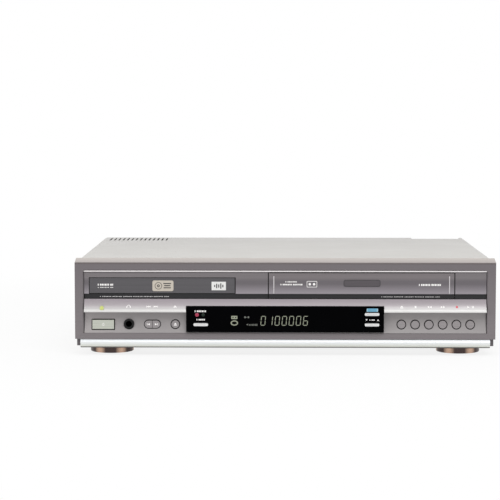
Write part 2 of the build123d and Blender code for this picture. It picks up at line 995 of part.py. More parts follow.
def front_circuit_board():
    side = front_board_side
    low = bezel_low + bezel_wall + sheet_gap
    plate = block(-side, side, front_board_d, front_board_d + board, low, front_board_top)
    half = jack_body / 2 + seam
    plate -= block(
        jack_x - half, jack_x + half, front_board_d, front_board_d + board, jack_z - half, jack_z + half
    )
    places = [(x, z) for name, x, z in key_places()]
    places += [(power_x, power_z), (select_x, pill_z), (right_pill_x, copy_z)]
    places += [(skip_x + side * skip_width / 4, key_height) for side in (-1, 1)]
    half = switch_size / 2
    switches = [
        block(x - half, x + half, switch_front, front_board_d, z - half, z + half) for x, z in places
    ]
    return [plate] + switches


def display_module():
    half = tube_width / 2
    back = tube_front + tube_depth
    tube = block(window_x - half, window_x + half, tube_front, back, tube_low, tube_high)
    half = tube_holder / 2
    wall = window_wall
    holder = block(window_x - half, window_x + half, back, front_board_d, tube_low + wall, tube_high - wall)
    return tube, holder


# ---------------------------------------------------------------------------
# Boards and rear sockets
# ---------------------------------------------------------------------------
def main_circuit_board():
    plate = block(board_left, main_right, main_front, main_back, board_low, board_top)
    plate += block(rear_board_left, main_right, main_back, board_back, board_low, board_top)
    plate += block(main_right, rear_board_right, rear_board_front, board_back, board_low, board_top)
    for x, d in loader_posts:
        plate -= round_z(x, d, board_low, board_top, loader_post + seam)
    chips = []
    chip_span = main_right - board_left - chip_left - chip_side - chip_right
    chip_step_x = chip_span / (chip_count - 1)
    for number in range(chip_count):
        x = board_left + chip_left + number * chip_step_x
        d = main_front + chip_front + number * chip_step_d
        chips.append(block(x, x + chip_side, d, d + chip_side, board_top, board_top + chip_height))
    return [plate] + chips


def power_supply_board():
    return block(supply_left, supply_right, supply_front, board_back, board_low, board_top)


def power_supply_parts():
    """Transformer, smoothing capacitors and a finned heat sink on the supply board."""
    x = supply_right - transformer_side - standoff
    d = supply_front + standoff
    core_top = board_top + transformer_height
    core = block(x, x + transformer_side, d, d + transformer_side, board_top, core_top)
    capacitors = []
    for number in range(capacitor_count):
        place = supply_left + 2 * capacitor_radius + number * (2 * capacitor_radius + capacitor_gap)
        depth = supply_front + 2 * capacitor_radius
        capacitors.append(round_z(place, depth, board_top, board_top + capacitor_height, capacitor_radius))
    sink_front = board_back - sink_back
    sink_top = board_top + sink_height
    sink = block(x, x + transformer_side, sink_front, sink_front + fin, board_top, sink_top)
    fin_pitch = (transformer_side - fin) / (fin_count - 1)
    for number in range(fin_count):
        left = x + number * fin_pitch
        sink += block(left, left + fin, sink_front, sink_front + fin_reach, board_top, sink_top)
    return [core, sink] + capacitors


def tuner_box():
    face = rear_in
    front = rear_board_front + tuner_inset
    can = block(tuner_x, tuner_x + tuner_width, front, face, board_top, board_top + tuner_height)
    for x, z in coax_places():
        can += round_y(x, z, face, case_depth + socket_face, coax_collar)
        can += round_y(x, z, case_depth, case_depth + jack_reach, coax_radius)
        can -= round_y(x, z, case_depth, case_depth + jack_reach, coax_bore)
    return can


def scart_sockets():
    face = rear_in
    half = scart_body / 2
    high = scart_low + scart_pitch + scart_height
    body = block(scart_x - half, scart_x + half, face - socket_depth, face, board_top, high)
    end = case_depth + socket_face
    for level in range(2):
        z = scart_low + level * scart_pitch
        half_x = scart_width / 2
        half_z = scart_height / 2
        body += block(scart_x - half_x, scart_x + half_x, face, end, z - half_z, z + half_z)
        deep = end - scart_groove_depth
        half_x -= sheet
        half_z -= sheet
        groove = block(scart_x - half_x, scart_x + half_x, deep, end, z - half_z, z + half_z)
        half_x -= scart_groove
        half_z -= scart_groove
        body -= groove - block(scart_x - half_x, scart_x + half_x, deep, end, z - half_z, z + half_z)
    return body


def av_jacks():
    face = rear_in
    half = phono_pitch / 2
    left = phono_x - half
    right = phono_x + (phono_columns - 1) * phono_pitch + half
    high = phono_low + (phono_rows - 1) * phono_pitch + half
    body = block(left, right, face - phono_body_depth, face, board_top, high)
    end = case_depth + jack_reach
    for x, z in phono_places():
        body += round_y(x, z, face, case_depth + socket_face, phono_collar)
        body += round_y(x, z, case_depth, end, phono_radius)
        body -= round_y(x, z, case_depth, end, spindle_radius)
    return body


def power_inlet():
    half_x = inlet_width / 2
    half_z = inlet_height / 2
    end = case_depth + socket_face
    start = rear_in - socket_depth
    left = inlet_x - half_x
    right = inlet_x + half_x
    body = block(left, right, start, end, inlet_z - half_z, inlet_z + half_z)
    body += block(left, right, start, board_back, board_top, inlet_z)
    deep = end - inlet_slot_depth
    body -= pill_y(inlet_x, inlet_z, deep, end, inlet_slot_width, inlet_slot_height)
    for side in (-1, 1):
        body += round_y(inlet_x + side * inlet_pin_pitch / 2, inlet_z, deep, end - socket_face, inlet_pin)
    return body


# ---------------------------------------------------------------------------
# Disc loader
# ---------------------------------------------------------------------------
gear_pitch = math.pi * gear_module
gear_radius = gear_teeth * gear_module / 2
tooth_out = tooth_addendum * gear_module
tooth_in = tooth_dedendum * gear_module
tooth_half = (gear_pitch - gear_backlash) / 4
tooth_lean = math.tan(math.radians(pressure_angle))
tray_left = tray_door_x - tray_width / 2
tray_right = tray_door_x + tray_width / 2
tray_front = tray_door_inset + tray_door_wall
tray_back = tray_front + tray_length
rack_left = tray_left + rack_in
rack_root = rack_left + rack_back
gear_x = rack_root + tooth_in + gear_radius
gear_z = tray_low - rack_height
gear_post_top = gear_z - pulley_thick - 2 * under_gap
load_motor_x = gear_x + belt_span


def disc_tray():
    tray = block(tray_left, tray_right, tray_front, tray_back, tray_low, tray_top)
    x = tray_door_x
    tray -= round_z(x, disc_d, tray_top - disc_pocket_depth, tray_top, disc_pocket)
    tray -= round_z(x, disc_d, tray_top - small_pocket_depth, tray_top, small_pocket)
    tray -= block(x - slot_half, x + slot_half, disc_d, tray_back, tray_low, tray_top)
    tray -= round_z(x, disc_d, tray_low, tray_top, slot_half)
    return tray + tray_rack()


def tray_rack():
    """Toothed rack under the left of the tray, long enough for the whole travel."""
    first = gear_d - rack_lead * gear_pitch
    count = int((tray_travel + rack_spare) / gear_pitch) + 1
    tip = rack_root + tooth_in + tooth_out
    wide = tooth_half + tooth_in * tooth_lean
    narrow = tooth_half - tooth_out * tooth_lean
    start = first - gear_pitch
    end = first + count * gear_pitch
    points = [(rack_left, end), (rack_left, start), (rack_root, start)]
    for number in range(count):
        d = first + number * gear_pitch
        points += [(rack_root, d - wide), (tip, d - narrow), (tip, d + narrow), (rack_root, d + wide)]
    points.append((rack_root, end))
    return plate_z(points, gear_z, tray_low)


def tray_drive_gear():
    root = gear_radius - tooth_in
    tip = gear_radius + tooth_out
    wide = (tooth_half + tooth_in * tooth_lean) / root
    narrow = (tooth_half - tooth_out * tooth_lean) / tip
    points = []
    for number in range(gear_teeth):
        middle = math.pi + 2 * math.pi * number / gear_teeth
        for radius, angle in ((root, -wide), (tip, -narrow), (tip, narrow), (root, wide)):
            turn = middle + angle
            points.append((gear_x + radius * math.cos(turn), gear_d + radius * math.sin(turn)))
    gear = plate_z(points, gear_z, gear_z + gear_thick)
    gear += round_z(gear_x, gear_d, gear_z - pulley_thick - under_gap, gear_z, pulley_radius)
    return gear + round_z(gear_x, gear_d, loader_low + loader_floor, gear_z, gear_shaft)


def tray_fascia():
    half = tray_door_width / 2
    low = door_low + panel_gap
    front = tray_door_inset
    return block(tray_door_x - half, tray_door_x + half, front, tray_front, low, low + tray_door_height)


def loader_frame():
    floor_top = loader_low + loader_floor
    frame = block(loader_left, loader_right, loader_front, loader_back, loader_low, floor_top)
    x = tray_door_x
    frame -= block(x - well_half, x + well_half, well_front, well_back, loader_low, floor_top)
    for side, edge in ((1, loader_left), (-1, loader_right)):
        wall = sorted((edge, edge + side * loader_wall))
        frame += block(*wall, loader_front, loader_back, loader_low, loader_top)
        ledge = sorted((edge, edge + side * (loader_wall + ledge_width)))
        ledge_top = tray_low - under_gap
        frame += block(*ledge, loader_front, loader_back, ledge_top - ledge_thick, ledge_top)
    frame += block(loader_left, loader_right, loader_back - loader_wall, loader_back, loader_low, loader_top)
    frame += round_z(gear_x, gear_d, floor_top, gear_post_top, gear_post)
    frame -= round_z(gear_x, gear_d, floor_top, gear_post_top, gear_shaft + running_gap)
    pivot_z = traverse_z + traverse_thick / 2
    for side in (-1, 1):
        ear_x = sorted((x + side * well_half, x + side * (well_half + traverse_ear)))
        low_d = traverse_pivot_d - traverse_ear_half
        high_d = traverse_pivot_d + traverse_ear_half
        frame += block(*ear_x, low_d, high_d, loader_low, pivot_z + traverse_ear_half)
        frame -= round_x(traverse_pivot_d, pivot_z, *ear_x, traverse_pin + running_gap)
    return frame


def loading_motor():
    """Tray motor with its pulley, and the belt to the tray gear."""
    floor_top = loader_low + loader_floor
    motor = round_z(load_motor_x, gear_d, floor_top, floor_top + load_motor_height, load_motor_radius)
    low = gear_z - pulley_thick - under_gap
    motor += round_z(load_motor_x, gear_d, floor_top, low, gear_shaft)
    motor += round_z(load_motor_x, gear_d, low, low + pulley_thick, pulley_radius)
    middle = Pos((gear_x + load_motor_x) / 2, front_y + gear_d, low)
    outer = middle * SlotCenterToCenter(belt_span, 2 * (pulley_radius + under_gap + belt))
    inner = middle * SlotCenterToCenter(belt_span, 2 * (pulley_radius + under_gap))
    loop = extrude(outer - inner, amount=pulley_thick, dir=(0, 0, 1))
    return motor, loop


def traverse_plate():
    x = tray_door_x
    top = traverse_z + traverse_thick
    back = traverse_pivot_d + traverse_pin
    plate = block(x - traverse_half, x + traverse_half, traverse_front, back, traverse_z, top)
    rail_front = pickup_start - pickup_length / 2 - slide_gap - rail_block
    rail_back = pickup_start + pickup_travel + pickup_length / 2 + slide_gap
    half = pickup_width / 2 - rail_block
    plate -= block(x - half, x + half, rail_front + rail_block, rail_back, traverse_z, top)
    rails = []
    for side in (-1, 1):
        place = x + side * rail_x
        left = place - rail_block / 2
        for d in (rail_front, rail_back):
            plate += block(left, left + rail_block, d, d + rail_block, traverse_z, rail_z + rail_block / 2)
        plate -= round_y(place, rail_z, rail_front, rail_back + rail_block, rail_radius)
        rails.append(round_y(place, rail_z, rail_front, rail_back + rail_block, rail_radius))
    reach = well_half + traverse_ear - seam
    pivot_z = traverse_z + traverse_thick / 2
    for side in (-1, 1):
        pin = sorted((x + side * (traverse_half - rail_block), x + side * reach))
        plate += round_x(traverse_pivot_d, pivot_z, *pin, traverse_pin)
    return [plate] + rails


def optical_pickup():
    x = tray_door_x
    half = pickup_width / 2
    front = pickup_start - pickup_length / 2
    back = front + pickup_length
    sled = block(x - half, x + half, front, back, pickup_low, pickup_low + pickup_height)
    sled -= round_z(x, disc_d, pickup_low, pickup_low + pickup_height, motor_radius + slide_gap)
    for side in (-1, 1):
        sled -= round_y(x + side * rail_x, rail_z, front, back, rail_radius + running_gap)
    return sled + round_z(x, pickup_start, pickup_low + pickup_height, lens_top, lens_radius)


def spindle_motor():
    low = traverse_z + traverse_thick
    return round_z(tray_door_x, disc_d, low, low + motor_height, motor_radius)


def turntable():
    x = tray_door_x
    low = traverse_z + traverse_thick + motor_height + under_gap
    table = round_z(x, disc_d, table_top - table_thick, table_top, table_radius)
    table += round_z(x, disc_d, table_top, table_top + hub_height, hub_radius)
    boss_low = table_top - 2 * table_thick
    table += round_z(x, disc_d, boss_low, table_top, table_boss)
    return table + round_z(x, disc_d, low, boss_low, spindle_radius)


def clamp_bridge():
    half = bridge_width / 2
    top = loader_top + bridge_thick
    bridge = block(loader_left, loader_right, disc_d - half, disc_d + half, loader_top, top)
    return bridge - round_z(tray_door_x, disc_d, loader_top, top, clamp_hole)


def disc_clamp():
    x = tray_door_x
    rim_low = loader_top + bridge_thick + under_gap
    clamp = round_z(x, disc_d, rim_low, rim_low + clamp_rim_thick, clamp_rim)
    flange_top = loader_top - under_gap - clamp_drop / 2
    clamp += round_z(x, disc_d, flange_top, rim_low, clamp_neck)
    return clamp + round_z(x, disc_d, flange_top - clamp_flange_thick, flange_top, clamp_flange)


# ---------------------------------------------------------------------------
# Tape deck
# ---------------------------------------------------------------------------
basket_floor = strip_low - seam
basket_ceiling = basket_floor + basket_sheet + cassette_height + 2 * cassette_gap
basket_back = basket_front + basket_length
basket_top = basket_ceiling + basket_sheet
basket_pin_z = (basket_floor + basket_top) / 2
carriage_back = carriage_front + carriage_length
arm_low = roller_low - arm_thick - under_gap
bearing_top = arm_low - bearing_drop


def reel_places():
    return [deck_x - reel_pitch / 2, deck_x + reel_pitch / 2]


def deck_plate():
    plate = block(deck_x - deck_half, deck_x + deck_half, deck_front, deck_back, deck_z, deck_top)
    plate -= round_z(capstan_x, capstan_d, deck_z, deck_top, bearing_radius + running_gap)
    for x in reel_places():
        plate -= round_z(x, reel_d, deck_z, deck_top, reel_shaft + running_gap)
    plate += round_z(*pinch_pivot(), deck_top, arm_low - under_gap, arm_post)
    return plate + round_z(*pinch_pivot(), arm_low - under_gap, roller_low + arm_thick, arm_pin)


def basket_guides():
    made = []
    back = guide_front + guide_length
    for side in (-1, 1):
        wall = sorted((deck_x + side * guide_in, deck_x + side * guide_out))
        guide = block(*wall, guide_front, back, deck_top, basket_top + slide_gap)
        foot = sorted((deck_x + side * guide_out, deck_x + side * (guide_out - guide_sheet)))
        guide += block(*foot, guide_front, back, deck_top, deck_top + guide_foot)
        for pin in (basket_pin_front, basket_pin_back):
            d = carriage_front + pin
            reach = basket_pin + slide_gap
            end = d + carriage_travel + reach
            guide -= block(*wall, d - reach, end, guide_pin_z - reach, guide_pin_z + reach)
        made.append(guide)
    return made


def basket_carriage():
    top = basket_top + carriage_rise
    bar_front = carriage_back - carriage_bar
    carriage = block(
        deck_x - carriage_out, deck_x + carriage_out, bar_front, carriage_back, top, top + carriage_sheet
    )
    reach = basket_pin + slide_gap
    for side in (-1, 1):
        wall = sorted((deck_x + side * carriage_in, deck_x + side * carriage_out))
        carriage += block(*wall, carriage_front, carriage_back, carriage_low, top + carriage_sheet)
        for pin in (basket_pin_front, basket_pin_back):
            d = carriage_front + pin
            low = basket_pin_z - basket_drop - reach
            carriage -= block(*wall, d - reach, d + reach, low, basket_pin_z + reach)
            peg = sorted((deck_x + side * carriage_in, deck_x + side * (guide_out - seam)))
            carriage += round_x(d, guide_pin_z, *peg, basket_pin)
    return carriage


def cassette_basket():
    basket = block(
        deck_x - basket_out, deck_x + basket_out, basket_front, basket_back, basket_ceiling, basket_top
    )
    for side in (-1, 1):
        wall = sorted((deck_x + side * basket_in, deck_x + side * basket_out))
        basket += block(*wall, basket_front, basket_back, basket_floor, basket_top)
        ledge = sorted((deck_x + side * (basket_in - basket_ledge), deck_x + side * basket_out))
        basket += block(*ledge, basket_front, basket_back, basket_floor, basket_floor + basket_sheet)
        for pin in (basket_pin_front, basket_pin_back):
            peg = sorted((deck_x + side * basket_in, deck_x + side * (carriage_out - seam)))
            basket += round_x(carriage_front + pin, basket_pin_z, *peg, basket_pin)
    return basket


def reel(x):
    low = deck_top + under_gap
    made = round_z(x, reel_d, low, low + reel_table_thick, reel_table)
    made += round_z(x, reel_d, low, low + reel_height, reel_hub)
    return made + round_z(x, reel_d, deck_z - reel_shaft_length, low, reel_shaft)


def on_drum_axis(z0, z1, radius):
    """A cylinder on the tilted axis of the head drum, between two heights along it."""
    place = Pos(deck_x, front_y + drum_d, drum_low) * Rot(-drum_tilt, 0, 0)
    return place * Pos(0, 0, (z0 + z1) / 2) * Cylinder(radius, z1 - z0)


def lower_drum():
    drum = on_drum_axis(0, lower_drum_height, drum_radius)
    drum += round_z(deck_x, drum_d, deck_top, drum_low + lower_drum_height / 2, drum_base)
    bore = lower_drum_height - drum_shaft_length
    return drum - on_drum_axis(bore, lower_drum_height, drum_shaft + running_gap)


def upper_drum():
    low = lower_drum_height + under_gap
    drum = on_drum_axis(low, low + upper_drum_height, drum_radius)
    return drum + on_drum_axis(low - drum_shaft_length, low, drum_shaft)


def capstan_motor():
    """Bearing on the deck, and the stator board hung below it on posts."""
    low = rotor_low + rotor_thick + under_gap
    x = capstan_x
    d = capstan_d
    bearing = round_z(x, d, low, bearing_top, bearing_radius)
    bearing += round_z(x, d, deck_top, deck_top + deck_sheet, bearing_flange)
    bearing -= round_z(x, d, low, bearing_top, capstan_radius + running_gap)
    half = stator_half
    top = stator_low + board
    stator = block(x - half, x + half, d - half, d + half, stator_low, top)
    for px, pd in inside_corners(x - half, x + half, d - half, d + half, stator_post):
        stator += round_z(px, pd, top, deck_z, stator_post)
    return bearing, stator


def capstan():
    shaft = round_z(capstan_x, capstan_d, rotor_low, capstan_top, capstan_radius)
    return shaft + round_z(capstan_x, capstan_d, rotor_low, rotor_low + rotor_thick, rotor_radius)


def pinch_pivot():
    """Pivot of the pinch arm: roller_swing before the roller meets the capstan."""
    lean = math.radians(arm_lean)
    reach = capstan_radius + roller_radius + roller_gap + roller_reach
    return capstan_x + reach * math.cos(lean), capstan_d + reach * math.sin(lean)


def pinch_roller():
    """Arm and rubber roller, swung back from the capstan."""
    pivot_x, pivot_d = pinch_pivot()
    turn = math.radians(arm_lean + 180 - roller_swing)
    x = pivot_x + roller_reach * math.cos(turn)
    d = pivot_d + roller_reach * math.sin(turn)
    low = arm_low
    middle = Pos((pivot_x + x) / 2, front_y + (pivot_d + d) / 2, low) * Rot(0, 0, math.degrees(turn))
    arm = extrude(middle * SlotCenterToCenter(roller_reach, 2 * arm_half), amount=arm_thick, dir=(0, 0, 1))
    arm += round_z(pivot_x, pivot_d, low, roller_low + arm_thick, arm_half)
    arm -= round_z(pivot_x, pivot_d, low, roller_low + arm_thick, arm_pin + running_gap)
    arm += round_z(x, d, low, roller_low + roller_height, screw_shank)
    roller = round_z(x, d, roller_low, roller_low + roller_height, roller_radius)
    roller -= round_z(x, d, roller_low, roller_low + roller_height, screw_shank)
    return arm, roller


def tape_heads():
    """Erase head and sound head on their base plates."""
    made = []
    low = deck_top
    half = head_width / 2
    base = head_base
    reach = basket_back + carriage_travel
    for offset, back in ((erase_head_x, erase_head_back), (sound_head_x, sound_head_back)):
        x = deck_x + offset
        d = reach + back
        head = block(x - base, x + base, d - base, d + base, low, low + guide_sheet)
        head += round_z(x, d, low, roller_low, head_depth / 2)
        head += block(
            x - half, x + half, d - head_depth / 2, d + head_depth / 2, roller_low, roller_low + head_height
        )
        made.append(head)
    return made


def write_all():
    save("bottom_chassis", bottom_chassis())
    save("top_cover", top_cover())
    save("rear_panel", rear_panel())
    save("front_bezel", front_bezel())
    save("base_plinth", base_plinth())
    save("feet", *feet())
    save("foot_pads", *foot_pads())
    save("case_screws", *case_screws())
    save("door_surround", door_surround())
    save("legend_strip", legend_strip())
    save("control_panel", control_panel())
    save("display_window", display_window())
    save("display_module", *display_module())
    save("power_led_lens", power_led_lens())
    save("headphone_jack", headphone_jack())
    save("front_circuit_board", *front_circuit_board())
    save("main_circuit_board", *main_circuit_board())
    save("power_supply_board", power_supply_board())
    save("power_supply_parts", *power_supply_parts())
    save("tuner_box", tuner_box())
    save("scart_sockets", scart_sockets())
    save("av_jacks", av_jacks())
    save("power_inlet", power_inlet())
    save("loader_frame", loader_frame())
    save("loading_motor", *loading_motor())
    save("tray_drive_gear", tray_drive_gear())
    save("disc_tray", disc_tray())
    save("tray_fascia", tray_fascia())
    save("traverse_plate", *traverse_plate())
    save("spindle_motor", spindle_motor())
    save("turntable", turntable())
    save("optical_pickup", optical_pickup())
    save("clamp_bridge", clamp_bridge())
    save("disc_clamp", disc_clamp())
    save("deck_plate", deck_plate())
    save("basket_guides", *basket_guides())
    save("basket_carriage", basket_carriage())
    save("cassette_basket", cassette_basket())
    save("cassette_flap", cassette_flap())
    save("supply_reel", reel(reel_places()[0]))
    save("takeup_reel", reel(reel_places()[1]))
    save("lower_drum", lower_drum())
    save("upper_drum", upper_drum())
    save("capstan_motor", *capstan_motor())
    save("capstan", capstan())
    save("pinch_roller", *pinch_roller())
    save("tape_heads", *tape_heads())
    save("power_button", power_button())
    save("skip_back_button", skip_button(-1))
    save("skip_next_button", skip_button(1))
    for name, x, z in key_places():
        save(name, round_button(x, z))
    save("source_select_button", pill_button(select_x, pill_z))
    save("copy_button", pill_button(right_pill_x, copy_z))
    save("channel_rocker", channel_rocker())


write_all()
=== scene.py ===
import math

import bmesh
import bpy
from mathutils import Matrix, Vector

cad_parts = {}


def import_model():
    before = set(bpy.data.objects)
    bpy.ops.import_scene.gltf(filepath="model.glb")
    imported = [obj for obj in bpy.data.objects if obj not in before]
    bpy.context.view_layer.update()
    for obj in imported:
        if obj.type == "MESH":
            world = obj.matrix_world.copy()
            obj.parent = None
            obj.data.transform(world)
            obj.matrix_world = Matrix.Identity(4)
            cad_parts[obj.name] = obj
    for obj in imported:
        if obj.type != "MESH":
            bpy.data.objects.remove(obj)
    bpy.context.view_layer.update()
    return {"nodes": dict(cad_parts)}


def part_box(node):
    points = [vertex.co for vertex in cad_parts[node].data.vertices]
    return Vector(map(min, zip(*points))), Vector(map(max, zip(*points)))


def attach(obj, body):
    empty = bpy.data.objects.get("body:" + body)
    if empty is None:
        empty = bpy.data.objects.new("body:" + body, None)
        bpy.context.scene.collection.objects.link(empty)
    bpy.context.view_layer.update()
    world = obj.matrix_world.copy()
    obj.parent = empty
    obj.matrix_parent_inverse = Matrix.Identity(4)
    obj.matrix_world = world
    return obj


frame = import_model()
nodes = frame["nodes"]
MM = 0.001

# The planes that the looks are placed by, read from the frame, in metres
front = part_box("front_bezel")[0].y
window_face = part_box("display_window")[0].y
flap_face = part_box("cassette_flap")[0].y
fascia_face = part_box("tray_fascia")[0].y

# The hollow control panel's section: (depth behind the bezel's front plane, height) in millimetres
CONTROL_TOP, CONTROL_MIDDLE, CONTROL_BOTTOM = (4.2, 44.7), (3.2, 33.9), (0.4, 23.1)

# Other depths behind that plane, in millimetres
STRIP_D = 3.2
PHONO_D = 291.6
SCART_D = 291.68
AERIAL_D = 298.0
INLET_D = 278.6


# ---------------------------------------------------------------------------
# Node material kit
# ---------------------------------------------------------------------------
def linear(r, g, b):
    """A colour given as it shows, 0 to 255, in the renderer's linear values."""
    def one(value):
        value /= 255
        return value / 12.92 if value <= 0.04045 else ((value + 0.055) / 1.055) ** 2.4
    return (one(r), one(g), one(b), 1.0)


class Surface:
    """A Principled material whose colour, roughness and bump come from object-space nodes."""

    def __init__(self, name, colour, rough, metal=0.0, specular=0.5):
        self.material = bpy.data.materials.new(name)
        self.material.use_nodes = True
        self.tree = self.material.node_tree
        self.shader = self.tree.nodes["Principled BSDF"]
        self.shader.inputs["Metallic"].default_value = metal
        self.shader.inputs["Roughness"].default_value = rough
        self.shader.inputs["Specular IOR Level"].default_value = specular
        self.shader.inputs["Base Color"].default_value = colour
        self.place = self.tree.nodes.new("ShaderNodeTexCoord").outputs["Object"]
        self.colour = None
        self.base = colour
        self.normal = None

    def node(self, kind, **values):
        """Adds a node with these properties."""
        made = self.tree.nodes.new(kind)
        for key, value in values.items():
            setattr(made, key, value)
        return made

    def link(self, source, target):
        """Joins an output to an input."""
        self.tree.links.new(source, target)

    def math(self, operation, first, second=None, clamp=False):
        """One step of arithmetic on numbers or node outputs."""
        made = self.node("ShaderNodeMath", operation=operation, use_clamp=clamp)
        for socket, value in zip(made.inputs, (first, second)):
            if isinstance(value, (int, float)):
                socket.default_value = value
            elif value is not None:
                self.link(value, socket)
        return made.outputs[0]

    def noise(self, scale, stretch=(1, 1, 1), detail=3.0, rough=0.55):
        """Noise in object space, drawn out along an axis by its stretch."""
        moved = self.node("ShaderNodeMapping")
        moved.inputs["Scale"].default_value = stretch
        self.link(self.place, moved.inputs["Vector"])
        made = self.node("ShaderNodeTexNoise")
        made.inputs["Scale"].default_value = scale
        made.inputs["Detail"].default_value = detail
        made.inputs["Roughness"].default_value = rough
        self.link(moved.outputs[0], made.inputs["Vector"])
        return made.outputs["Fac"]

    def range(self, value, low, high, to_low=0.0, to_high=1.0):
        """A value carried over from one range to another, and held at its ends."""
        made = self.node("ShaderNodeMapRange")
        self.link(value, made.inputs["Value"])
        for key, number in (("From Min", low), ("From Max", high), ("To Min", to_low), ("To Max", to_high)):
            made.inputs[key].default_value = number
        return made.outputs[0]

    def axis(self, letter):
        """The place along one axis, in metres."""
        parts = self.node("ShaderNodeSeparateXYZ")
        self.link(self.place, parts.inputs[0])
        return parts.outputs[letter]

    def rise(self, start, end):
        """0 at one height and 1 at another, both in millimetres."""
        return self.range(self.axis("Z"), start * MM, end * MM)

    def band(self, letter, low, high, soft=0.00005):
        """1 between two places along an axis, in metres, and 0 outside."""
        place = self.axis(letter)
        rise = self.range(place, low - soft, low + soft)
        fall = self.range(place, high - soft, high + soft, 1.0, 0.0)
        return self.math("MULTIPLY", rise, fall)

    def behind(self, depth, soft=0.0001):
        """1 further back than a depth behind the bezel's front plane, in metres."""
        return self.range(self.axis("Y"), front + depth - soft, front + depth + soft)

    def tint(self, factor, colour):
        """Mixes another colour in by a factor."""
        mix = self.node("ShaderNodeMix", data_type="RGBA")
        self.link(factor, mix.inputs["Factor"])
        if self.colour is None:
            mix.inputs["A"].default_value = self.base
        else:
            self.link(self.colour, mix.inputs["A"])
        mix.inputs["B"].default_value = colour
        self.colour = mix.outputs["Result"]
        return self

    def shade(self, value, amount):
        """Lightens and darkens by a noise value about its middle."""
        bright = self.range(value, 0.3, 0.7, 1 - amount, 1 + amount)
        scale = self.node("ShaderNodeVectorMath", operation="SCALE")
        if self.colour is None:
            scale.inputs[0].default_value = self.base[:3]
        else:
            self.link(self.colour, scale.inputs[0])
        self.link(bright, scale.inputs["Scale"])
        self.colour = scale.outputs[0]
        return self

    def roughen(self, value, low, high):
        """Varies the roughness by a noise value."""
        self.link(self.range(value, 0.3, 0.7, low, high), self.shader.inputs["Roughness"])
        return self

    def bump(self, value, depth):
        """Adds relief to the relief that is there."""
        made = self.node("ShaderNodeBump")
        made.inputs["Strength"].default_value = 1.0
        made.inputs["Distance"].default_value = depth
        self.link(value, made.inputs["Height"])
        if self.normal is not None:
            self.link(self.normal, made.inputs["Normal"])
        self.normal = made.outputs[0]
        return self

    def coat(self, weight, rough=0.05):
        """Adds a clear coat."""
        self.shader.inputs["Coat Weight"].default_value = weight
        self.shader.inputs["Coat Roughness"].default_value = rough
        return self

    def glow(self, colour, strength):
        """Makes the surface give light."""
        self.shader.inputs["Emission Color"].default_value = colour
        self.shader.inputs["Emission Strength"].default_value = strength
        return self

    def done(self):
        """Joins colour and relief to the shader, and gives the material."""
        if self.colour is not None:
            self.link(self.colour, self.shader.inputs["Base Color"])
        if self.normal is not None:
            self.link(self.normal, self.shader.inputs["Normal"])
        return self.material


def lacquer(name, colour, rough=0.38, metal=0.35, grain=0.03):
    """Metallic lacquer on moulded plastic: fine flakes and a faint orange peel."""
    s = Surface(name, colour, rough, metal)
    flakes = s.noise(5200, detail=1.0)
    cloud = s.noise(14, detail=4.0)
    s.shade(flakes, grain).shade(cloud, 0.015)
    s.roughen(cloud, rough - 0.03, rough + 0.04)
    return s.bump(s.noise(900), 0.00001)


def hairline(name, colour, rough=0.36, metal=0.45, depth=0.05):
    """Lacquered panel with fine lines brushed across it."""
    s = Surface(name, colour, rough, metal)
    fine = s.noise(1.0, stretch=(14, 900, 3600), detail=2.0, rough=0.7)
    wide = s.noise(1.0, stretch=(6, 300, 620), detail=3.0)
    s.shade(fine, depth).shade(wide, depth)
    s.roughen(fine, rough - 0.07, rough + 0.08)
    return s.bump(fine, 0.000008)


def moulded(name, colour, rough=0.5, specular=0.4):
    """Plain moulded plastic with a fine spark-eroded grain."""
    s = Surface(name, colour, rough, 0.0, specular)
    grain = s.noise(2600, detail=2.0)
    s.shade(s.noise(30), 0.05).roughen(s.noise(60), rough - 0.05, rough + 0.07)
    return s.bump(grain, 0.00001)


def plated(name, colour, rough=0.35, lines=(60, 60, 2600)):
    """Zinc-plated or ground steel, with drawn lines and cloudy plating."""
    s = Surface(name, colour, rough, 1.0)
    drawn = s.noise(1.0, stretch=lines, detail=2.0)
    cloud = s.noise(45, detail=5.0)
    s.shade(drawn, 0.05).shade(cloud, 0.06)
    s.roughen(cloud, rough - 0.08, rough + 0.12)
    return s.bump(drawn, 0.000005)


def paint(name, colour, rough=0.5):
    """Stoved paint on sheet steel: fine orange peel and faint dust."""
    s = Surface(name, colour, rough, 0.0, 0.4)
    peel = s.noise(1500, detail=2.0)
    s.shade(s.noise(9, detail=5.0), 0.012).shade(s.noise(3000, detail=1.0), 0.02)
    s.roughen(s.noise(25), rough - 0.06, rough + 0.06)
    return s.bump(peel, 0.000018)


def circuit(name, colour, trace):
    """Lacquered board with paler copper tracks under the lacquer."""
    s = Surface(name, colour, 0.35, 0.0, 0.5)
    moved = s.node("ShaderNodeMapping")
    moved.inputs["Scale"].default_value = (160, 160, 160)
    s.link(s.place, moved.inputs["Vector"])
    cells = s.node("ShaderNodeTexVoronoi", distance="CHEBYCHEV", feature="DISTANCE_TO_EDGE")
    cells.inputs["Scale"].default_value = 1.0
    s.link(moved.outputs[0], cells.inputs["Vector"])
    tracks = s.range(cells.outputs["Distance"], 0.05, 0.09, 1.0, 0.0)
    s.tint(tracks, trace)
    s.bump(tracks, 0.00002)
    return s.shade(s.noise(80), 0.08)


def metal_gloss(name, colour, rough):
    """Smooth metal with faint clouds."""
    s = Surface(name, colour, rough, 1.0)
    s.shade(s.noise(200, detail=3.0), 0.04)
    return s.roughen(s.noise(120), rough - 0.04, rough + 0.06)


def rubber(name, colour):
    """Matt rubber."""
    s = Surface(name, colour, 0.75, 0.0, 0.3)
    s.shade(s.noise(90), 0.12)
    return s.bump(s.noise(1800), 0.00003)


def lit(name, colour, strength):
    """A surface that gives its own light."""
    s = Surface(name, colour, 0.4, 0.0, 0.3)
    s.shade(s.noise(1500, detail=1.0), 0.05)
    return s.glow(colour, strength)


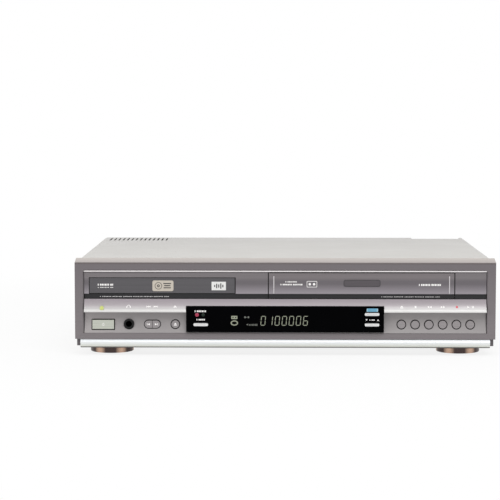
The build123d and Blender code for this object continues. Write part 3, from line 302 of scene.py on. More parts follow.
# ---------------------------------------------------------------------------
# Materials of the case and front
# ---------------------------------------------------------------------------
STRIP_BLACK = linear(38, 38, 40)
STRIP_TOP = 63.4 * MM
# Near-black painted shade for gaps, hole walls and the walls behind faces
PAINTED_GAP_SHADE = linear(16, 15, 16)
FOOT_RADIUS = 22.5 * MM
# How far in from a door's end its painted edge shade lies, in metres
EDGE_SHADE_INSET = 0.45 * MM
OPENING_Z = (0.0226, 0.0862)
OPENING_X = 0.2064


def face_ends(node):
    """Where a node's front face begins and ends across the front."""
    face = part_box(node)[0].y + 0.2 * MM
    across = [vertex.co.x for vertex in nodes[node].data.vertices if vertex.co.y < face]
    return min(across), max(across)


def painted_edge_shade(s, place, side):
    """Painted shade on the rounded edge of a door, just inside its left (-1) or right (1) end."""
    inner = place - side * EDGE_SHADE_INSET
    s.tint(s.range(s.axis("X"), inner - side * 0.05 * MM, inner + side * 0.05 * MM), PAINTED_GAP_SHADE)


def door_panel(name, colour):
    """Hairline panel whose recessed lower strip is black, with painted shading, darker a little below its top
    and lighter down to the strip, and painted shade in its gaps.
    """
    s = hairline(name, colour)
    # Painted shading: darker a little below the top, lighter down towards the black strip
    s.tint(s.rise(80.0, 76.5), linear(104, 99, 103))
    s.tint(s.rise(73.5, 64.0), linear(146, 140, 146))
    # Painted shade on the walls behind the face, in the gaps
    s.tint(s.behind(1.5 * MM), PAINTED_GAP_SHADE)
    s.tint(s.range(s.axis("Z"), STRIP_TOP + 0.05 * MM, STRIP_TOP - 0.05 * MM), STRIP_BLACK)
    return s


def flap_material():
    """The doors' hairline panel, with painted shade on the rounded edges at both ends of the flap."""
    s = door_panel("flap_hairline", linear(119, 113, 115))
    left, right = face_ends("cassette_flap")
    painted_edge_shade(s, left, -1)
    painted_edge_shade(s, right, 1)
    return s.done()


def bezel_material():
    """Hairline frame, darker towards the top and along its bottom edge, with painted shade under its top
    edge, a painted highlight on that edge, painted light on its top face and painted shade inside its
    opening.
    """
    s = hairline("bezel_hairline", linear(122, 116, 118), rough=0.42, metal=0.25, depth=0.035)
    s.tint(s.rise(30.0, 88.0), linear(109, 103, 106))
    # Painted shade under the rounded top edge
    s.tint(s.rise(93.4, 94.8), linear(92, 84, 84))
    # Painted highlight along the top edge
    s.tint(s.rise(95.4, 95.7), linear(180, 172, 169))
    # Painted light on the top face, which faces the lamp above
    s.tint(s.rise(96.2, 99.0), linear(198, 191, 185))
    s.tint(s.rise(17.0, 16.5), linear(94, 89, 92))
    # Painted shade inside the opening
    inside = s.math("MULTIPLY", s.behind(1.2 * MM), s.band("Z", *OPENING_Z))
    s.tint(s.math("MULTIPLY", inside, s.band("X", -OPENING_X, OPENING_X)), PAINTED_GAP_SHADE)
    return s.done()


def cover_material():
    """Pale painted steel, with painted light that makes it a little lighter to the front."""
    s = paint("cover_paint", linear(202, 200, 197))
    # Painted light: lighter towards the front
    s.tint(s.range(s.axis("Y"), 0.100, -0.130), linear(206, 204, 200))
    return s.done()


def legend_material():
    """Silver strip with painted light that brightens it down to its lip, and a painted highlight on the lip.
    """
    s = lacquer("legend_lacquer", linear(156, 148, 153), rough=0.42, metal=0.3, grain=0.02)
    # Painted light: brighter down the strip as it turns up towards the light, with a painted highlight on its
    # lip
    s.tint(s.rise(56.0, 51.0), linear(158, 152, 155))
    s.tint(s.rise(51.5, 46.5), linear(190, 189, 188))
    s.tint(s.rise(48.2, 46.6), linear(214, 213, 211))
    return s.done()


def control_material():
    """Lacquered hollow panel, a little lighter at its left end, with painted shade inside the key holes."""
    s = lacquer("control_lacquer", linear(144, 140, 140))
    s.tint(s.range(s.axis("X"), -0.150, -0.205), linear(156, 151, 151))
    (top_d, top_z), middle_d, (bottom_d, bottom_z) = CONTROL_TOP, CONTROL_MIDDLE[0], CONTROL_BOTTOM
    slope = (top_d - bottom_d) / 2 * MM
    hollow = (middle_d - (top_d + bottom_d) / 2) * MM
    rise = s.range(s.axis("Z"), bottom_z * MM, top_z * MM, -1.0, 1.0)
    bow = s.math("MULTIPLY", s.math("MULTIPLY", rise, rise), -hollow)
    surface = s.math("ADD", s.math("MULTIPLY", rise, slope), bow)
    depth = s.math("SUBTRACT", s.math("SUBTRACT", s.axis("Y"), surface), front + middle_d * MM)
    # Painted shade on the walls of the key holes, behind the panel's face
    s.tint(s.range(depth, 0.4 * MM, 0.6 * MM), PAINTED_GAP_SHADE)
    return s.done()


def key_material(name, colour, face, rough=0.32, metal=0.45):
    """Lacquered key cap, with painted shade on the key's sides behind the cap."""
    s = hairline(name, colour, rough, metal, 0.018)
    # Painted shade on the key's sides behind the cap
    s.tint(s.behind(face + 0.7 * MM), PAINTED_GAP_SHADE)
    return s.done()


def pill_material(node):
    """White window key, with painted shade where its face rounds over at the top and bottom."""
    s = moulded(node + "_white", linear(222, 222, 222), 0.3, 0.5)
    low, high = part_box(node)
    away = s.math("ABSOLUTE", s.math("SUBTRACT", s.axis("Z"), (low.z + high.z) / 2))
    # Painted shade where the face rounds over
    s.tint(s.range(away, 1.15 * MM, 1.55 * MM), linear(92, 92, 95))
    return s.done()


def fascia_material():
    """The tray's door, with painted shade behind its face and on the rounded edge at its right end."""
    s = hairline("fascia_hairline", linear(87, 85, 88))
    # Painted shade on the walls behind the face, and on the rounded edge at the right end
    s.tint(s.behind(2.4 * MM), PAINTED_GAP_SHADE)
    painted_edge_shade(s, face_ends("tray_fascia")[1], 1)
    return s.done()


def plinth_material():
    """Bright bar, with painted shade on its lower half and a painted shadow line along its lower edge."""
    s = lacquer("plinth_lacquer", linear(226, 229, 232), rough=0.32, metal=0.2, grain=0.01)
    # Painted shade: darker on the lower half, which faces down
    s.tint(s.rise(14.5, 8.8), linear(219, 221, 211))
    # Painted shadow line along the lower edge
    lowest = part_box("base_plinth")[0].z
    s.tint(s.range(s.axis("Z"), lowest + 1.3 * MM, lowest + 1.0 * MM), linear(96, 94, 91))
    return s.coat(0.15, 0.2).done()


def window_material():
    """Gloss black acrylic."""
    s = Surface("window_acrylic", linear(2, 2, 3), 0.07, 0.0, 0.015)
    s.shade(s.noise(60), 0.2)
    return s.roughen(s.noise(35, detail=5.0), 0.05, 0.1).done()


def foot_material():
    """Bronze-metallised drum, with six painted highlights round its side and painted shade towards its top.
    """
    s = Surface("foot_metallised", linear(74, 62, 60), 0.25, 0.85)
    low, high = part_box("feet")
    along = s.math("SUBTRACT", s.math("ABSOLUTE", s.axis("X")), (high.x - low.x) / 2 - FOOT_RADIUS)
    middle_y = (low.y + high.y) / 2
    across = s.math("ABSOLUTE", s.math("SUBTRACT", s.axis("Y"), middle_y))
    across = s.math("SUBTRACT", across, (high.y - low.y) / 2 - FOOT_RADIUS)
    # Painted highlights: six paler streaks round the side, fading towards the top
    turn = s.math("COSINE", s.math("MULTIPLY", s.math("ARCTAN2", along, across), 6.0))
    painted_glint = s.range(turn, 0.15, -1.0)
    painted_glint = s.math("MULTIPLY", painted_glint, s.rise(8.2, 4.8))
    s.tint(painted_glint, linear(206, 174, 152))
    # Painted shade towards the top, under the player
    s.tint(s.rise(5.2, 8.0), linear(40, 35, 34))
    turned_lines = s.noise(1.0, stretch=(30, 30, 2500), detail=2.0)
    s.shade(turned_lines, 0.06).roughen(turned_lines, 0.2, 0.32)
    return s.done()


def socket_material():
    """Black socket block with nickel barrels beyond its face."""
    s = moulded("phono_body", linear(30, 30, 32), 0.42)
    barrel = s.behind((PHONO_D + 0.05) * MM)
    s.tint(barrel, linear(206, 204, 198))
    s.link(barrel, s.shader.inputs["Metallic"])
    return s.done()


finishes = {
    "top_cover": cover_material(),
    "front_bezel": bezel_material(),
    "door_surround": door_panel("surround_hairline", linear(118, 113, 115)).done(),
    "cassette_flap": flap_material(),
    "tray_fascia": fascia_material(),
    "legend_strip": legend_material(),
    "control_panel": control_material(),
    "base_plinth": plinth_material(),
    "display_window": window_material(),
    "feet": foot_material(),
    "foot_pads": rubber("pad_rubber", linear(48, 46, 45)).done(),
    "case_screws": metal_gloss("screw_black", linear(58, 58, 60), 0.4).done(),
    "bottom_chassis": plated("chassis_zinc", linear(196, 197, 196)).done(),
    "rear_panel": plated("rear_zinc", linear(190, 191, 190), lines=(60, 60, 2600)).done(),
    "power_led_lens": lit("lamp_lens", linear(188, 196, 116), 0.18).done(),
    "headphone_jack": moulded("jack_black", linear(10, 10, 11), 0.5, 0.25).done(),
}

KEY_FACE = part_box("stop_button")[0].y - front
button_silver = key_material("button_silver", linear(146, 141, 142), KEY_FACE)
for name in ("skip_back", "skip_next", "open_close", "eject", "stop", "rewind", "forward", "record", "play"):
    finishes[name + "_button"] = button_silver
POWER_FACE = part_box("power_button")[0].y - front
finishes["power_button"] = key_material("power_lacquer", linear(188, 191, 180), POWER_FACE)
for name in ("source_select_button", "copy_button", "channel_rocker"):
    finishes[name] = pill_material(name)

zinc = plated("deck_zinc", linear(200, 200, 196)).done()
bright = plated("bright_steel", linear(212, 212, 212), 0.25).done()
black = moulded("loader_black", linear(34, 34, 36), 0.5).done()
acetal = moulded("acetal_white", linear(226, 224, 214), 0.35, 0.5).done()
green_board = circuit("board_green", linear(20, 92, 52), linear(56, 132, 84)).done()
brown_board = circuit("board_brown", linear(150, 108, 66), linear(176, 138, 92)).done()
aluminium = plated("drum_aluminium", linear(214, 214, 216), 0.22, lines=(30, 30, 3800)).done()

finishes.update({
    "display_module": moulded("tube_glass", linear(24, 30, 28), 0.12, 0.6).done(),
    "front_circuit_board": brown_board,
    "main_circuit_board": green_board,
    "power_supply_board": brown_board,
    "power_supply_parts": moulded("component_dark", linear(46, 46, 50), 0.4).done(),
    "tuner_box": plated("tinned_can", linear(206, 206, 202), 0.28).done(),
    "scart_sockets": moulded("socket_black", linear(28, 28, 30), 0.42).done(),
    "av_jacks": socket_material(),
    "power_inlet": moulded("inlet_black", linear(26, 26, 28), 0.42).done(),
    "loader_frame": black,
    "disc_tray": moulded("tray_black", linear(44, 44, 47), 0.42).done(),
    "tray_drive_gear": acetal,
    "loading_motor": bright,
    "traverse_plate": zinc,
    "spindle_motor": bright,
    "turntable": black,
    "optical_pickup": plated("pickup_cast", linear(170, 172, 178), 0.4, lines=(200, 200, 200)).done(),
    "clamp_bridge": zinc,
    "disc_clamp": acetal,
    "deck_plate": zinc,
    "basket_guides": zinc,
    "basket_carriage": zinc,
    "cassette_basket": bright,
    "supply_reel": acetal,
    "takeup_reel": acetal,
    "lower_drum": aluminium,
    "upper_drum": aluminium,
    "capstan_motor": bright,
    "capstan": bright,
    "pinch_roller": rubber("roller_rubber", linear(36, 36, 37)).done(),
    "tape_heads": bright,
})

for name, node_object in nodes.items():
    node_object.data.materials.clear()
    node_object.data.materials.append(finishes[name])

# Width of each fine rounded edge, in millimetres
EDGES = {"front_bezel": 0.3, "door_surround": 0.2, "cassette_flap": 0.2, "tray_fascia": 0.25,
         "legend_strip": 0.25, "control_panel": 0.15, "display_window": 0.3, "base_plinth": 0.25,
         "top_cover": 0.2}
for name, width in EDGES.items():
    edge = nodes[name].modifiers.new("edge", "BEVEL")
    edge.width = width * MM
    edge.segments = 2
    edge.limit_method = "ANGLE"
    edge.angle_limit = math.radians(50)
    edge.harden_normals = True


# ---------------------------------------------------------------------------
# Places on the front, in millimetres: x across, d behind the bezel's front, z up
# ---------------------------------------------------------------------------
def at(x, d, z):
    """A place in the frame, from millimetres."""
    return Vector((x * MM, front + d * MM, z * MM))


def arc_depth(points):
    """Depth of a surface whose section is the arc through three (d, z) points."""
    (d1, z1), (d2, z2), (d3, z3) = points
    twice = 2 * (d1 * (z2 - z3) + d2 * (z3 - z1) + d3 * (z1 - z2))
    s1, s2, s3 = d1 * d1 + z1 * z1, d2 * d2 + z2 * z2, d3 * d3 + z3 * z3
    middle_d = (s1 * (z2 - z3) + s2 * (z3 - z1) + s3 * (z1 - z2)) / twice
    middle_z = (s1 * (d3 - d2) + s2 * (d1 - d3) + s3 * (d2 - d1)) / twice
    radius = math.hypot(d1 - middle_d, z1 - middle_z)
    side = 1 if d2 > middle_d else -1
    return lambda z: middle_d + side * math.sqrt(max(radius ** 2 - (z - middle_z) ** 2, 0))


legend_depth = arc_depth(((1.0, 58.0), (-0.3, 52.05), (-4.0, 46.1)))
control_depth = arc_depth((CONTROL_TOP, CONTROL_MIDDLE, CONTROL_BOTTOM))
WINDOW_D = (window_face - front) / MM
KEY_D = KEY_FACE / MM
POWER_D = POWER_FACE / MM
FASCIA_D = (fascia_face - front) / MM
FLAP_D = (flap_face - front) / MM


def middle(node):
    """The x and z of a node's middle, in millimetres."""
    low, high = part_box(node)
    return (low.x + high.x) / 2 / MM, (low.z + high.z) / 2 / MM


def piece(name, mesh, material, body, smooth=35):
    """Makes an object of a mesh, with its material and body."""
    mesh.name = name
    made = bpy.data.objects.new(name, mesh)
    bpy.context.scene.collection.objects.link(made)
    mesh.materials.clear()
    mesh.materials.append(material)
    mesh.shade_smooth()
    if smooth:
        mesh.set_sharp_from_angle(angle=math.radians(smooth))
    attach(made, body)
    return made


def printed(name, loops, depth, thick, material, body="case", edge=0.0):
    """Flat shapes drawn in x and z, thick mm proud of a depth or of a surface."""
    curve = bpy.data.curves.new(name, "CURVE")
    curve.dimensions = "2D"
    curve.fill_mode = "BOTH"
    curve.extrude = thick / 2 - edge
    curve.bevel_depth = edge
    curve.bevel_resolution = 2
    curve.offset = -edge
    for loop in loops:
        spline = curve.splines.new("POLY")
        spline.points.add(len(loop) - 1)
        for point, (x, z) in zip(spline.points, loop):
            point.co = (x, z, 0, 1)
        spline.use_cyclic_u = True
    shape = bpy.data.objects.new(name, curve)
    mesh = bpy.data.meshes.new_from_object(shape)
    bpy.data.objects.remove(shape)
    bpy.data.curves.remove(curve)
    for vertex in mesh.vertices:
        x, z, up = vertex.co
        ground = depth(z) if callable(depth) else depth
        vertex.co = at(x, ground - up - thick / 2, z)
    return piece(name, mesh, material, body)


def turned(name, profile, place, material, body="case", axis=(0, -1, 0), steps=48):
    """A turned shape: profile of (radius, height) in mm, height along the axis."""
    build = bmesh.new()
    rings = []
    for radius, height in profile:
        if radius < 1e-6:
            rings.append([build.verts.new((0, 0, height * MM))])
            continue
        ring = []
        for step in range(steps):
            turn = 2 * math.pi * step / steps
            spot = (radius * MM * math.cos(turn), radius * MM * math.sin(turn), height * MM)
            ring.append(build.verts.new(spot))
        rings.append(ring)
    for low, high in zip(rings, rings[1:]):
        for step in range(steps):
            after = (step + 1) % steps
            corners = [low[step % len(low)], low[after % len(low)],
                       high[after % len(high)], high[step % len(high)]]
            unique = list(dict.fromkeys(corners))
            if len(unique) > 2:
                build.faces.new(unique)
    bmesh.ops.recalc_face_normals(build, faces=build.faces)
    turn = Vector((0, 0, 1)).rotation_difference(Vector(axis)).to_matrix()
    for vertex in build.verts:
        vertex.co = turn @ vertex.co + place
    mesh = bpy.data.meshes.new(name)
    build.to_mesh(mesh)
    build.free()
    return piece(name, mesh, material, body)


def round_rect(x, z, width, height, radius, steps=6):
    """A rectangle with rounded corners."""
    loop = []
    for cx, cz, start in ((1, 1, 0), (-1, 1, 90), (-1, -1, 180), (1, -1, 270)):
        for step in range(steps + 1):
            turn = math.radians(start + 90 * step / steps)
            px = x + cx * (width / 2 - radius) + radius * math.cos(turn)
            loop.append((px, z + cz * (height / 2 - radius) + radius * math.sin(turn)))
    return loop


def ellipse(x, z, wide, tall, steps=40):
    """An ellipse of a full width and height."""
    turns = [2 * math.pi * step / steps for step in range(steps)]
    return [(x + wide / 2 * math.cos(t), z + tall / 2 * math.sin(t)) for t in turns]


def triangle(x, z, width, height, way):
    """A triangle that points left for -1 or right for 1."""
    tip, base = x + way * width / 2, x - way * width / 2
    return [(tip, z), (base, z + height / 2), (base, z - height / 2)]


def pointer(x, z, width, height, way):
    """A triangle that points up for 1 or down for -1."""
    tip, base = z + way * height / 2, z - way * height / 2
    return [(x, tip), (x - width / 2, base), (x + width / 2, base)]


def rect(x, z, width, height):
    """A rectangle."""
    return [(x - width / 2, z - height / 2), (x + width / 2, z - height / 2),
            (x + width / 2, z + height / 2), (x - width / 2, z + height / 2)]


def arc(x, z, wide, tall, start, sweep, steps):
    """Points along an arc that turns by sweep from start, in degrees, with half sizes wide and tall."""
    turns = [math.radians(start + sweep * step / steps) for step in range(steps + 1)]
    return [(x + wide * math.cos(t), z + tall * math.sin(t)) for t in turns]


# ---------------------------------------------------------------------------
# Trim and plates of the doors
# ---------------------------------------------------------------------------
trim_silver = metal_gloss("trim_silver", linear(214, 210, 212), 0.3).done()
# Pale strip whose brightness is a painted highlight on the opening's top bevel
bevel_highlight = lacquer("bevel_highlight", linear(222, 217, 218), rough=0.5, metal=0.15, grain=0.01).done()
plate_beige = hairline("plate_beige", linear(194, 186, 174), 0.35, 0.4, 0.03).done()
plate_white = moulded("plate_white", linear(222, 222, 220), 0.35).done()
print_white = moulded("print_white", linear(240, 238, 236), 0.45).done()
print_dark = moulded("print_dark", linear(52, 50, 52), 0.5).done()
print_grey = moulded("print_grey", linear(196, 194, 194), 0.5).done()
plate_dark = hairline("plate_dark", linear(84, 79, 83), 0.35, 0.4, 0.03).done()
print_red = moulded("print_red", linear(206, 84, 92), 0.45).done()
# Near-black painted shade: the rings round the keys and the cross recesses of the screws
painted_shade_dark = moulded("painted_shade_dark", linear(14, 13, 14), 0.7, 0.1).done()

# Thickness of prints, of marks on a badge or the legend strip, and of what shows on the window
PRINT, MARK, LIGHT = 0.05, 0.06, 0.04

opening_top = 86.0
# Painted highlight: a pale strip along the top bevel of the door opening
printed("door_bevel_highlight", [round_rect(0, opening_top + 0.62, 411.4, 1.3, 0.5)], 0.5, 0.7, bevel_highlight,
        edge=0.2)

for name, x in (("flap_rib_left", -11.4), ("flap_rib_right", 167.8)):
    printed(name, [round_rect(x, 72.6, 0.9, 18.2, 0.42)], FLAP_D, 0.45, trim_silver,
            "flap", 0.15)

badge_x, badge_z, badge_thick = -124.8, 71.5, 0.35
printed("disc_badge", [round_rect(badge_x, badge_z, 21.6, 11.0, 1.8)], FASCIA_D, badge_thick, plate_beige,
        "tray", 0.12)
disc_mark = [ellipse(badge_x - 4.6, badge_z, 7.4, 7.4), ellipse(badge_x - 4.6, badge_z, 6.4, 6.4),
             ellipse(badge_x - 4.6, badge_z, 2.8, 2.8), ellipse(badge_x - 4.6, badge_z, 1.2, 1.2)]
bar_rows = ((2.4, 8.0), (0.2, 6.4), (-2.0, 7.4))
disc_mark += [rect(badge_x + 4.4, badge_z + step, width, 1.0) for step, width in bar_rows]
printed("disc_badge_mark", disc_mark, FASCIA_D - badge_thick, MARK, print_dark, "tray")
level_x, level_z, level_thick = -67.7, 71.4, 0.3
printed("level_badge", [round_rect(level_x, level_z, 14.7, 8.8, 0.4)], FASCIA_D, level_thick, plate_white,
        "tray", 0.1)
level_heights = (2.2, 4.6, 3.2, 5.4, 2.6)
levels = [rect(level_x + 2.1 * (n - 2), level_z, 1.1, tall) for n, tall in enumerate(level_heights)]
printed("level_badge_mark", levels, FASCIA_D - level_thick, MARK, print_dark, "tray")


def dashes(x0, x1, z, height):
    """A row of plain printed dashes of uneven length."""
    row = []
    x = x0
    for number in range(200):
        length = 0.9 + 0.55 * ((number * 7) % 5) / 4
        if x + length > x1:
            return row
        row.append(rect(x + length / 2, z, length, height))
        x += length + (0.45 if number % 6 else 1.3)
    return row


printed("tray_print", dashes(-191.5, -175.0, 72.6, 1.9) + dashes(-191.5, -175.0, 69.8, 0.6), FASCIA_D, PRINT,
        print_white, "tray")
strip_print_z, strip_print_height = 60.3, 0.75
printed("strip_print_left", dashes(-189.5, -118.5, strip_print_z, strip_print_height), STRIP_D, PRINT,
        print_grey)
printed("strip_print_right", dashes(98.5, 159.5, strip_print_z, strip_print_height), STRIP_D, PRINT,
        print_grey, "flap")
tape_x, tape_z = 27.5, 73.4
tape_mark = [round_rect(tape_x, tape_z, 10.6, 6.4, 0.9), round_rect(tape_x, tape_z, 9.6, 5.4, 0.6),
             ellipse(tape_x - 2.2, tape_z, 2.6, 2.6), ellipse(tape_x + 2.2, tape_z, 2.6, 2.6)]
printed("tape_print", tape_mark + dashes(-4.6, 18.6, 73.0, 1.5) + dashes(0.4, 12.0, 75.8, 1.1), FLAP_D, PRINT,
        print_white, "flap")
printed("flap_print", dashes(136.6, 160.6, 72.8, 2.0), FLAP_D, PRINT, print_white, "flap")
name_x, name_z = 78.6, 74.4
plate_shape = round_rect(name_x, name_z, 36.6, 6.2, 1.4)
printed("name_plate", [plate_shape], FLAP_D, 0.4, plate_dark, "flap", 0.12)
printed("name_plate_edge", [round_rect(name_x, name_z, 37.4, 7.0, 1.8), plate_shape], FLAP_D, 0.5,
        print_dark, "flap", 0.08)

# ---------------------------------------------------------------------------
# Pictograms on the legend strip and the keys
# ---------------------------------------------------------------------------
row_z = 50.4
key_x = [middle(name + "_button")[0] for name in ("eject", "stop", "rewind", "forward", "record", "play")]
marks = []
marks += [pointer(key_x[0], row_z + 0.5, 3.4, 1.5, 1), rect(key_x[0], row_z - 0.9, 3.4, 0.55)]
marks += [rect(key_x[1], row_z, 1.9, 1.9)]
for step in (-1.2, 1.2):
    marks.append(triangle(key_x[2] + step, row_z, 2.3, 1.9, -1))
    marks.append(triangle(key_x[3] + step, row_z, 2.3, 1.9, 1))
marks += [triangle(key_x[5] - 2.3, row_z, 2.5, 2.1, 1)]
marks += [rect(key_x[5] + 1.5, row_z, 0.7, 2.1), rect(key_x[5] + 2.9, row_z, 0.7, 2.1)]
jack_x, jack_z = middle("headphone_jack")
skip_x = (middle("skip_back_button")[0] + middle("skip_next_button")[0]) / 2
disc_key_x = middle("open_close_button")[0]
arch = arc(jack_x, row_z, 1.9, 1.6, 0, 180, 12) + arc(jack_x, row_z, 1.4, 1.15, 180, -180, 12)
marks += [arch, rect(jack_x - 1.75, row_z - 0.45, 0.9, 1.3), rect(jack_x + 1.75, row_z - 0.45, 0.9, 1.3)]
for way in (-1, 1):
    marks.append(triangle(skip_x + way * 2.6, row_z, 1.9, 1.7, way))
    marks.append(triangle(skip_x + way * 4.4, row_z, 1.9, 1.7, way))
    marks.append(rect(skip_x + way * 5.7, row_z, 0.5, 1.7))
marks += [pointer(disc_key_x, row_z + 0.5, 3.2, 1.4, 1), rect(disc_key_x, row_z - 0.8, 3.2, 0.5)]
printed("legend_marks", marks, legend_depth, MARK, print_white)
printed("record_mark", [ellipse(key_x[4], row_z, 2.3, 2.3)], legend_depth, MARK, print_red)

# Painted shade: dark rings round the keys, in the gaps where shade falls
shade_rings = []
shade_ring_outer, shade_ring_inner = 9.9, 8.6
for name in ("open_close", "eject", "stop", "rewind", "forward", "record", "play"):
    x, z = middle(name + "_button")
    shade_rings += [ellipse(x, z, shade_ring_outer, shade_ring_outer), ellipse(x, z, shade_ring_inner, shade_ring_inner)]
key_z = middle("skip_back_button")[1]
shade_rings += [round_rect(skip_x, key_z, 17.5, 9.1, 4.5), round_rect(skip_x, key_z, 16.4, 8.0, 3.95)]
x, z = middle("power_button")
shade_rings += [round_rect(x, z, 24.1, 11.3, 0.7), round_rect(x, z, 22.9, 10.1, 0.3)]
printed("key_shade_rings", shade_rings, control_depth, 0.1, painted_shade_dark)

for side, name in ((-1, "skip_back"), (1, "skip_next")):
    x, z = middle(name + "_button")
    mark = [triangle(skip_x + side * 3.8, key_z, 2.4, 2.2, side), rect(skip_x + side * 5.3, key_z, 0.5, 2.2)]
    printed(name + "_mark", mark, KEY_D, PRINT, print_white, name + "_key")
x, z = middle("open_close_button")
printed("open_close_mark", [pointer(x, z + 0.7, 3.2, 2.0, 1), rect(x, z - 1.1, 3.2, 0.6)], KEY_D, PRINT,
        print_white, "open_close_key")
x, z = middle("power_button")
ring = arc(x, z, 1.25, 1.25, 120, 300, 24) + arc(x, z, 0.9, 0.9, 420, -300, 24)
printed("power_mark", [ring, rect(x, z + 1.1, 0.4, 1.3)], POWER_D, PRINT, print_white,
        "power_key")

# ---------------------------------------------------------------------------
# Display: lit segments, lamps and labels on the gloss window
# ---------------------------------------------------------------------------
segment_lit = lit("segment_lit", linear(132, 136, 119), 0.26).done()
grey_lit = lit("grey_lit", linear(96, 98, 92), 0.2).done()
led_red = lit("led_red", linear(158, 46, 74), 0.08).coat(0.3, 0.1).done()
led_green = lit("led_green", linear(5, 28, 15), 0.04).done()


def label_material():
    """Blue label that pales towards its ends."""
    s = moulded("label_blue", linear(100, 160, 188), 0.35)
    place = s.range(s.axis("X"), 0.0830, 0.0950, -1.0, 1.0)
    away = s.math("ABSOLUTE", place)
    s.tint(s.range(away, 0.7, 1.0), linear(176, 204, 216))
    return s.done()


SEGMENTS = {"0": "abcdef", "1": "bc", "6": "acdefg"}
cell, tall, wide, stroke, lean = 7.21, 9.9, 4.9, 0.68, 0.09
first_x, base_z = -22.7, 31.3


def bar(x0, z0, x1, z1, shift):
    """A segment with pointed ends from one corner of a digit to the next, leaning with it."""
    length = math.hypot(x1 - x0, z1 - z0)
    ux, uz = (x1 - x0) / length, (z1 - z0) / length
    half, gap = stroke / 2, 0.22
    points = []
    for along, across in ((gap, 0), (gap + half, half), (length - gap - half, half), (length - gap, 0),
                          (length - gap - half, -half), (gap + half, -half)):
        x = x0 + ux * along - uz * across
        z = z0 + uz * along + ux * across
        points.append((shift + x + lean * (z - base_z), z))
    return points


def digit(character, x):
    """The lit segments of one digit."""
    left, right = -wide / 2 + stroke / 2, wide / 2 - stroke / 2
    low, mid, high = base_z + stroke / 2, base_z + tall / 2, base_z + tall - stroke / 2
    lines = {"a": (left, high, right, high), "b": (right, mid, right, high), "c": (right, low, right, mid),
             "d": (left, low, right, low), "e": (left, low, left, mid), "f": (left, mid, left, high),
             "g": (left, mid, right, mid)}
    return [bar(*lines[letter], x) for letter in SEGMENTS[character]]


loops = []
for number, character in enumerate("0100006"):
    loops += digit(character, first_x + number * cell)
printed("display_digits", loops, WINDOW_D, LIGHT, segment_lit)

icon_x = -51.7
cassette = [round_rect(icon_x, 39.6, 6.3, 3.3, 0.5), ellipse(icon_x - 1.35, 39.6, 1.3, 1.3),
            ellipse(icon_x + 1.35, 39.6, 1.3, 1.3)]
disc = [ellipse(icon_x, 33.9, 7.6, 5.4), ellipse(icon_x, 33.9, 5.2, 3.2)]
printed("display_icons", cassette + disc, WINDOW_D, LIGHT, segment_lit)
reels = [ellipse(-40.7, 39.8, 1.9, 2.1), ellipse(-37.3, 39.8, 1.9, 2.1), rect(-39.0, 39.8, 1.0, 0.45)]
bars = [rect(-36.2 + 1.5 * n, 32.0, 0.9, 1.4 + 0.15 * n) for n in range(6)]
printed("display_marks", reels + bars + [triangle(-38.6, 32.3, 2.0, 1.9, -1)], WINDOW_D, LIGHT, grey_lit)

for name, x, radius, material in (("led_red", -89.8, 1.95, led_red), ("led_green", -83.5, 1.7, led_green)):
    turned(name, [(radius, -0.2), (radius, 0.15), (radius * 0.85, 0.45), (radius * 0.5, 0.62), (0, 0.7)],
           at(x, WINDOW_D, 42.2), material)
printed("blue_label", [round_rect(89.1, 47.3, 11.5, 3.4, 0.5)], WINDOW_D, 0.15, label_material(),
        edge=0.05)
printed("channel_marks", [pointer(83.2, 37.2, 2.1, 1.7, -1), pointer(94.9, 37.2, 2.1, 1.7, 1)]
        + dashes(86.2, 92.2, 37.2, 1.1) + dashes(-92.2, -80.4, 45.9, 1.7) + dashes(-90.4, -80.8, 37.3, 1.5),
        WINDOW_D, LIGHT, print_white)
for name, node, body in (("copy", "copy_button", "copy_key"),
                         ("select", "source_select_button", "source_select_key"),
                         ("rocker", "channel_rocker", "rocker_key")):
    x, z = middle(node)
    shape = [round_rect(x, z, 10.6, 0.5, 0.2)] if name != "rocker" else [
        round_rect(x - 3.0, z, 4.6, 0.5, 0.2), round_rect(x + 3.0, z, 4.6, 0.5, 0.2), rect(x, z, 0.45, 3.3)]
    printed(name + "_line", shape, WINDOW_D - 0.8, 0.03, print_grey, body)

# ---------------------------------------------------------------------------
# Socket rim on the front, and what the rear sockets show
# ---------------------------------------------------------------------------
jack_pin = metal_gloss("jack_pin", linear(200, 198, 194), 0.3).done()
contact_dark = metal_gloss("contact_dark", linear(22, 21, 21), 0.6).done()
jack_d = (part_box("headphone_jack")[0].y - front) / MM
turned("jack_ring", [(3.25, -1.5), (3.25, 0.05), (3.6, 0.3), (4.9, 0.3), (5.35, 0.0), (5.35, -0.6)],
       at(jack_x, jack_d, jack_z), finishes["headphone_jack"])
turned("jack_contact", [(3.15, -29.5), (2.2, -29.2), (2.2, -20.0), (3.15, -20.0)],
       at(jack_x, jack_d, jack_z), contact_dark)

BACK = (0, 1, 0)
ring_colours = {"yellow": (226, 190, 40), "white": (232, 232, 228), "red": (196, 40, 40),
                "green": (40, 150, 80), "blue": (46, 84, 180), "orange": (226, 120, 40)}
rows = (("yellow", "green"), ("white", "blue"), ("red", "red"), ("orange", "yellow"))
ring_material = {name: moulded("ring_" + name, linear(*rgb), 0.4).done()
                 for name, rgb in ring_colours.items()}
ring_profile = [(4.25, 0.0), (4.25, 1.0), (4.5, 1.25), (5.2, 1.25), (5.5, 1.0), (5.5, 0.0)]
phono_x, phono_z, phono_pitch = 84.0, 28.0, 18.0
for column, pair in enumerate(rows):
    for row, colour in enumerate(pair):
        place = at(phono_x + phono_pitch * column, PHONO_D, phono_z + phono_pitch * row)
        turned(f"phono_ring_{column}_{row}", ring_profile, place, ring_material[colour],
               axis=BACK)

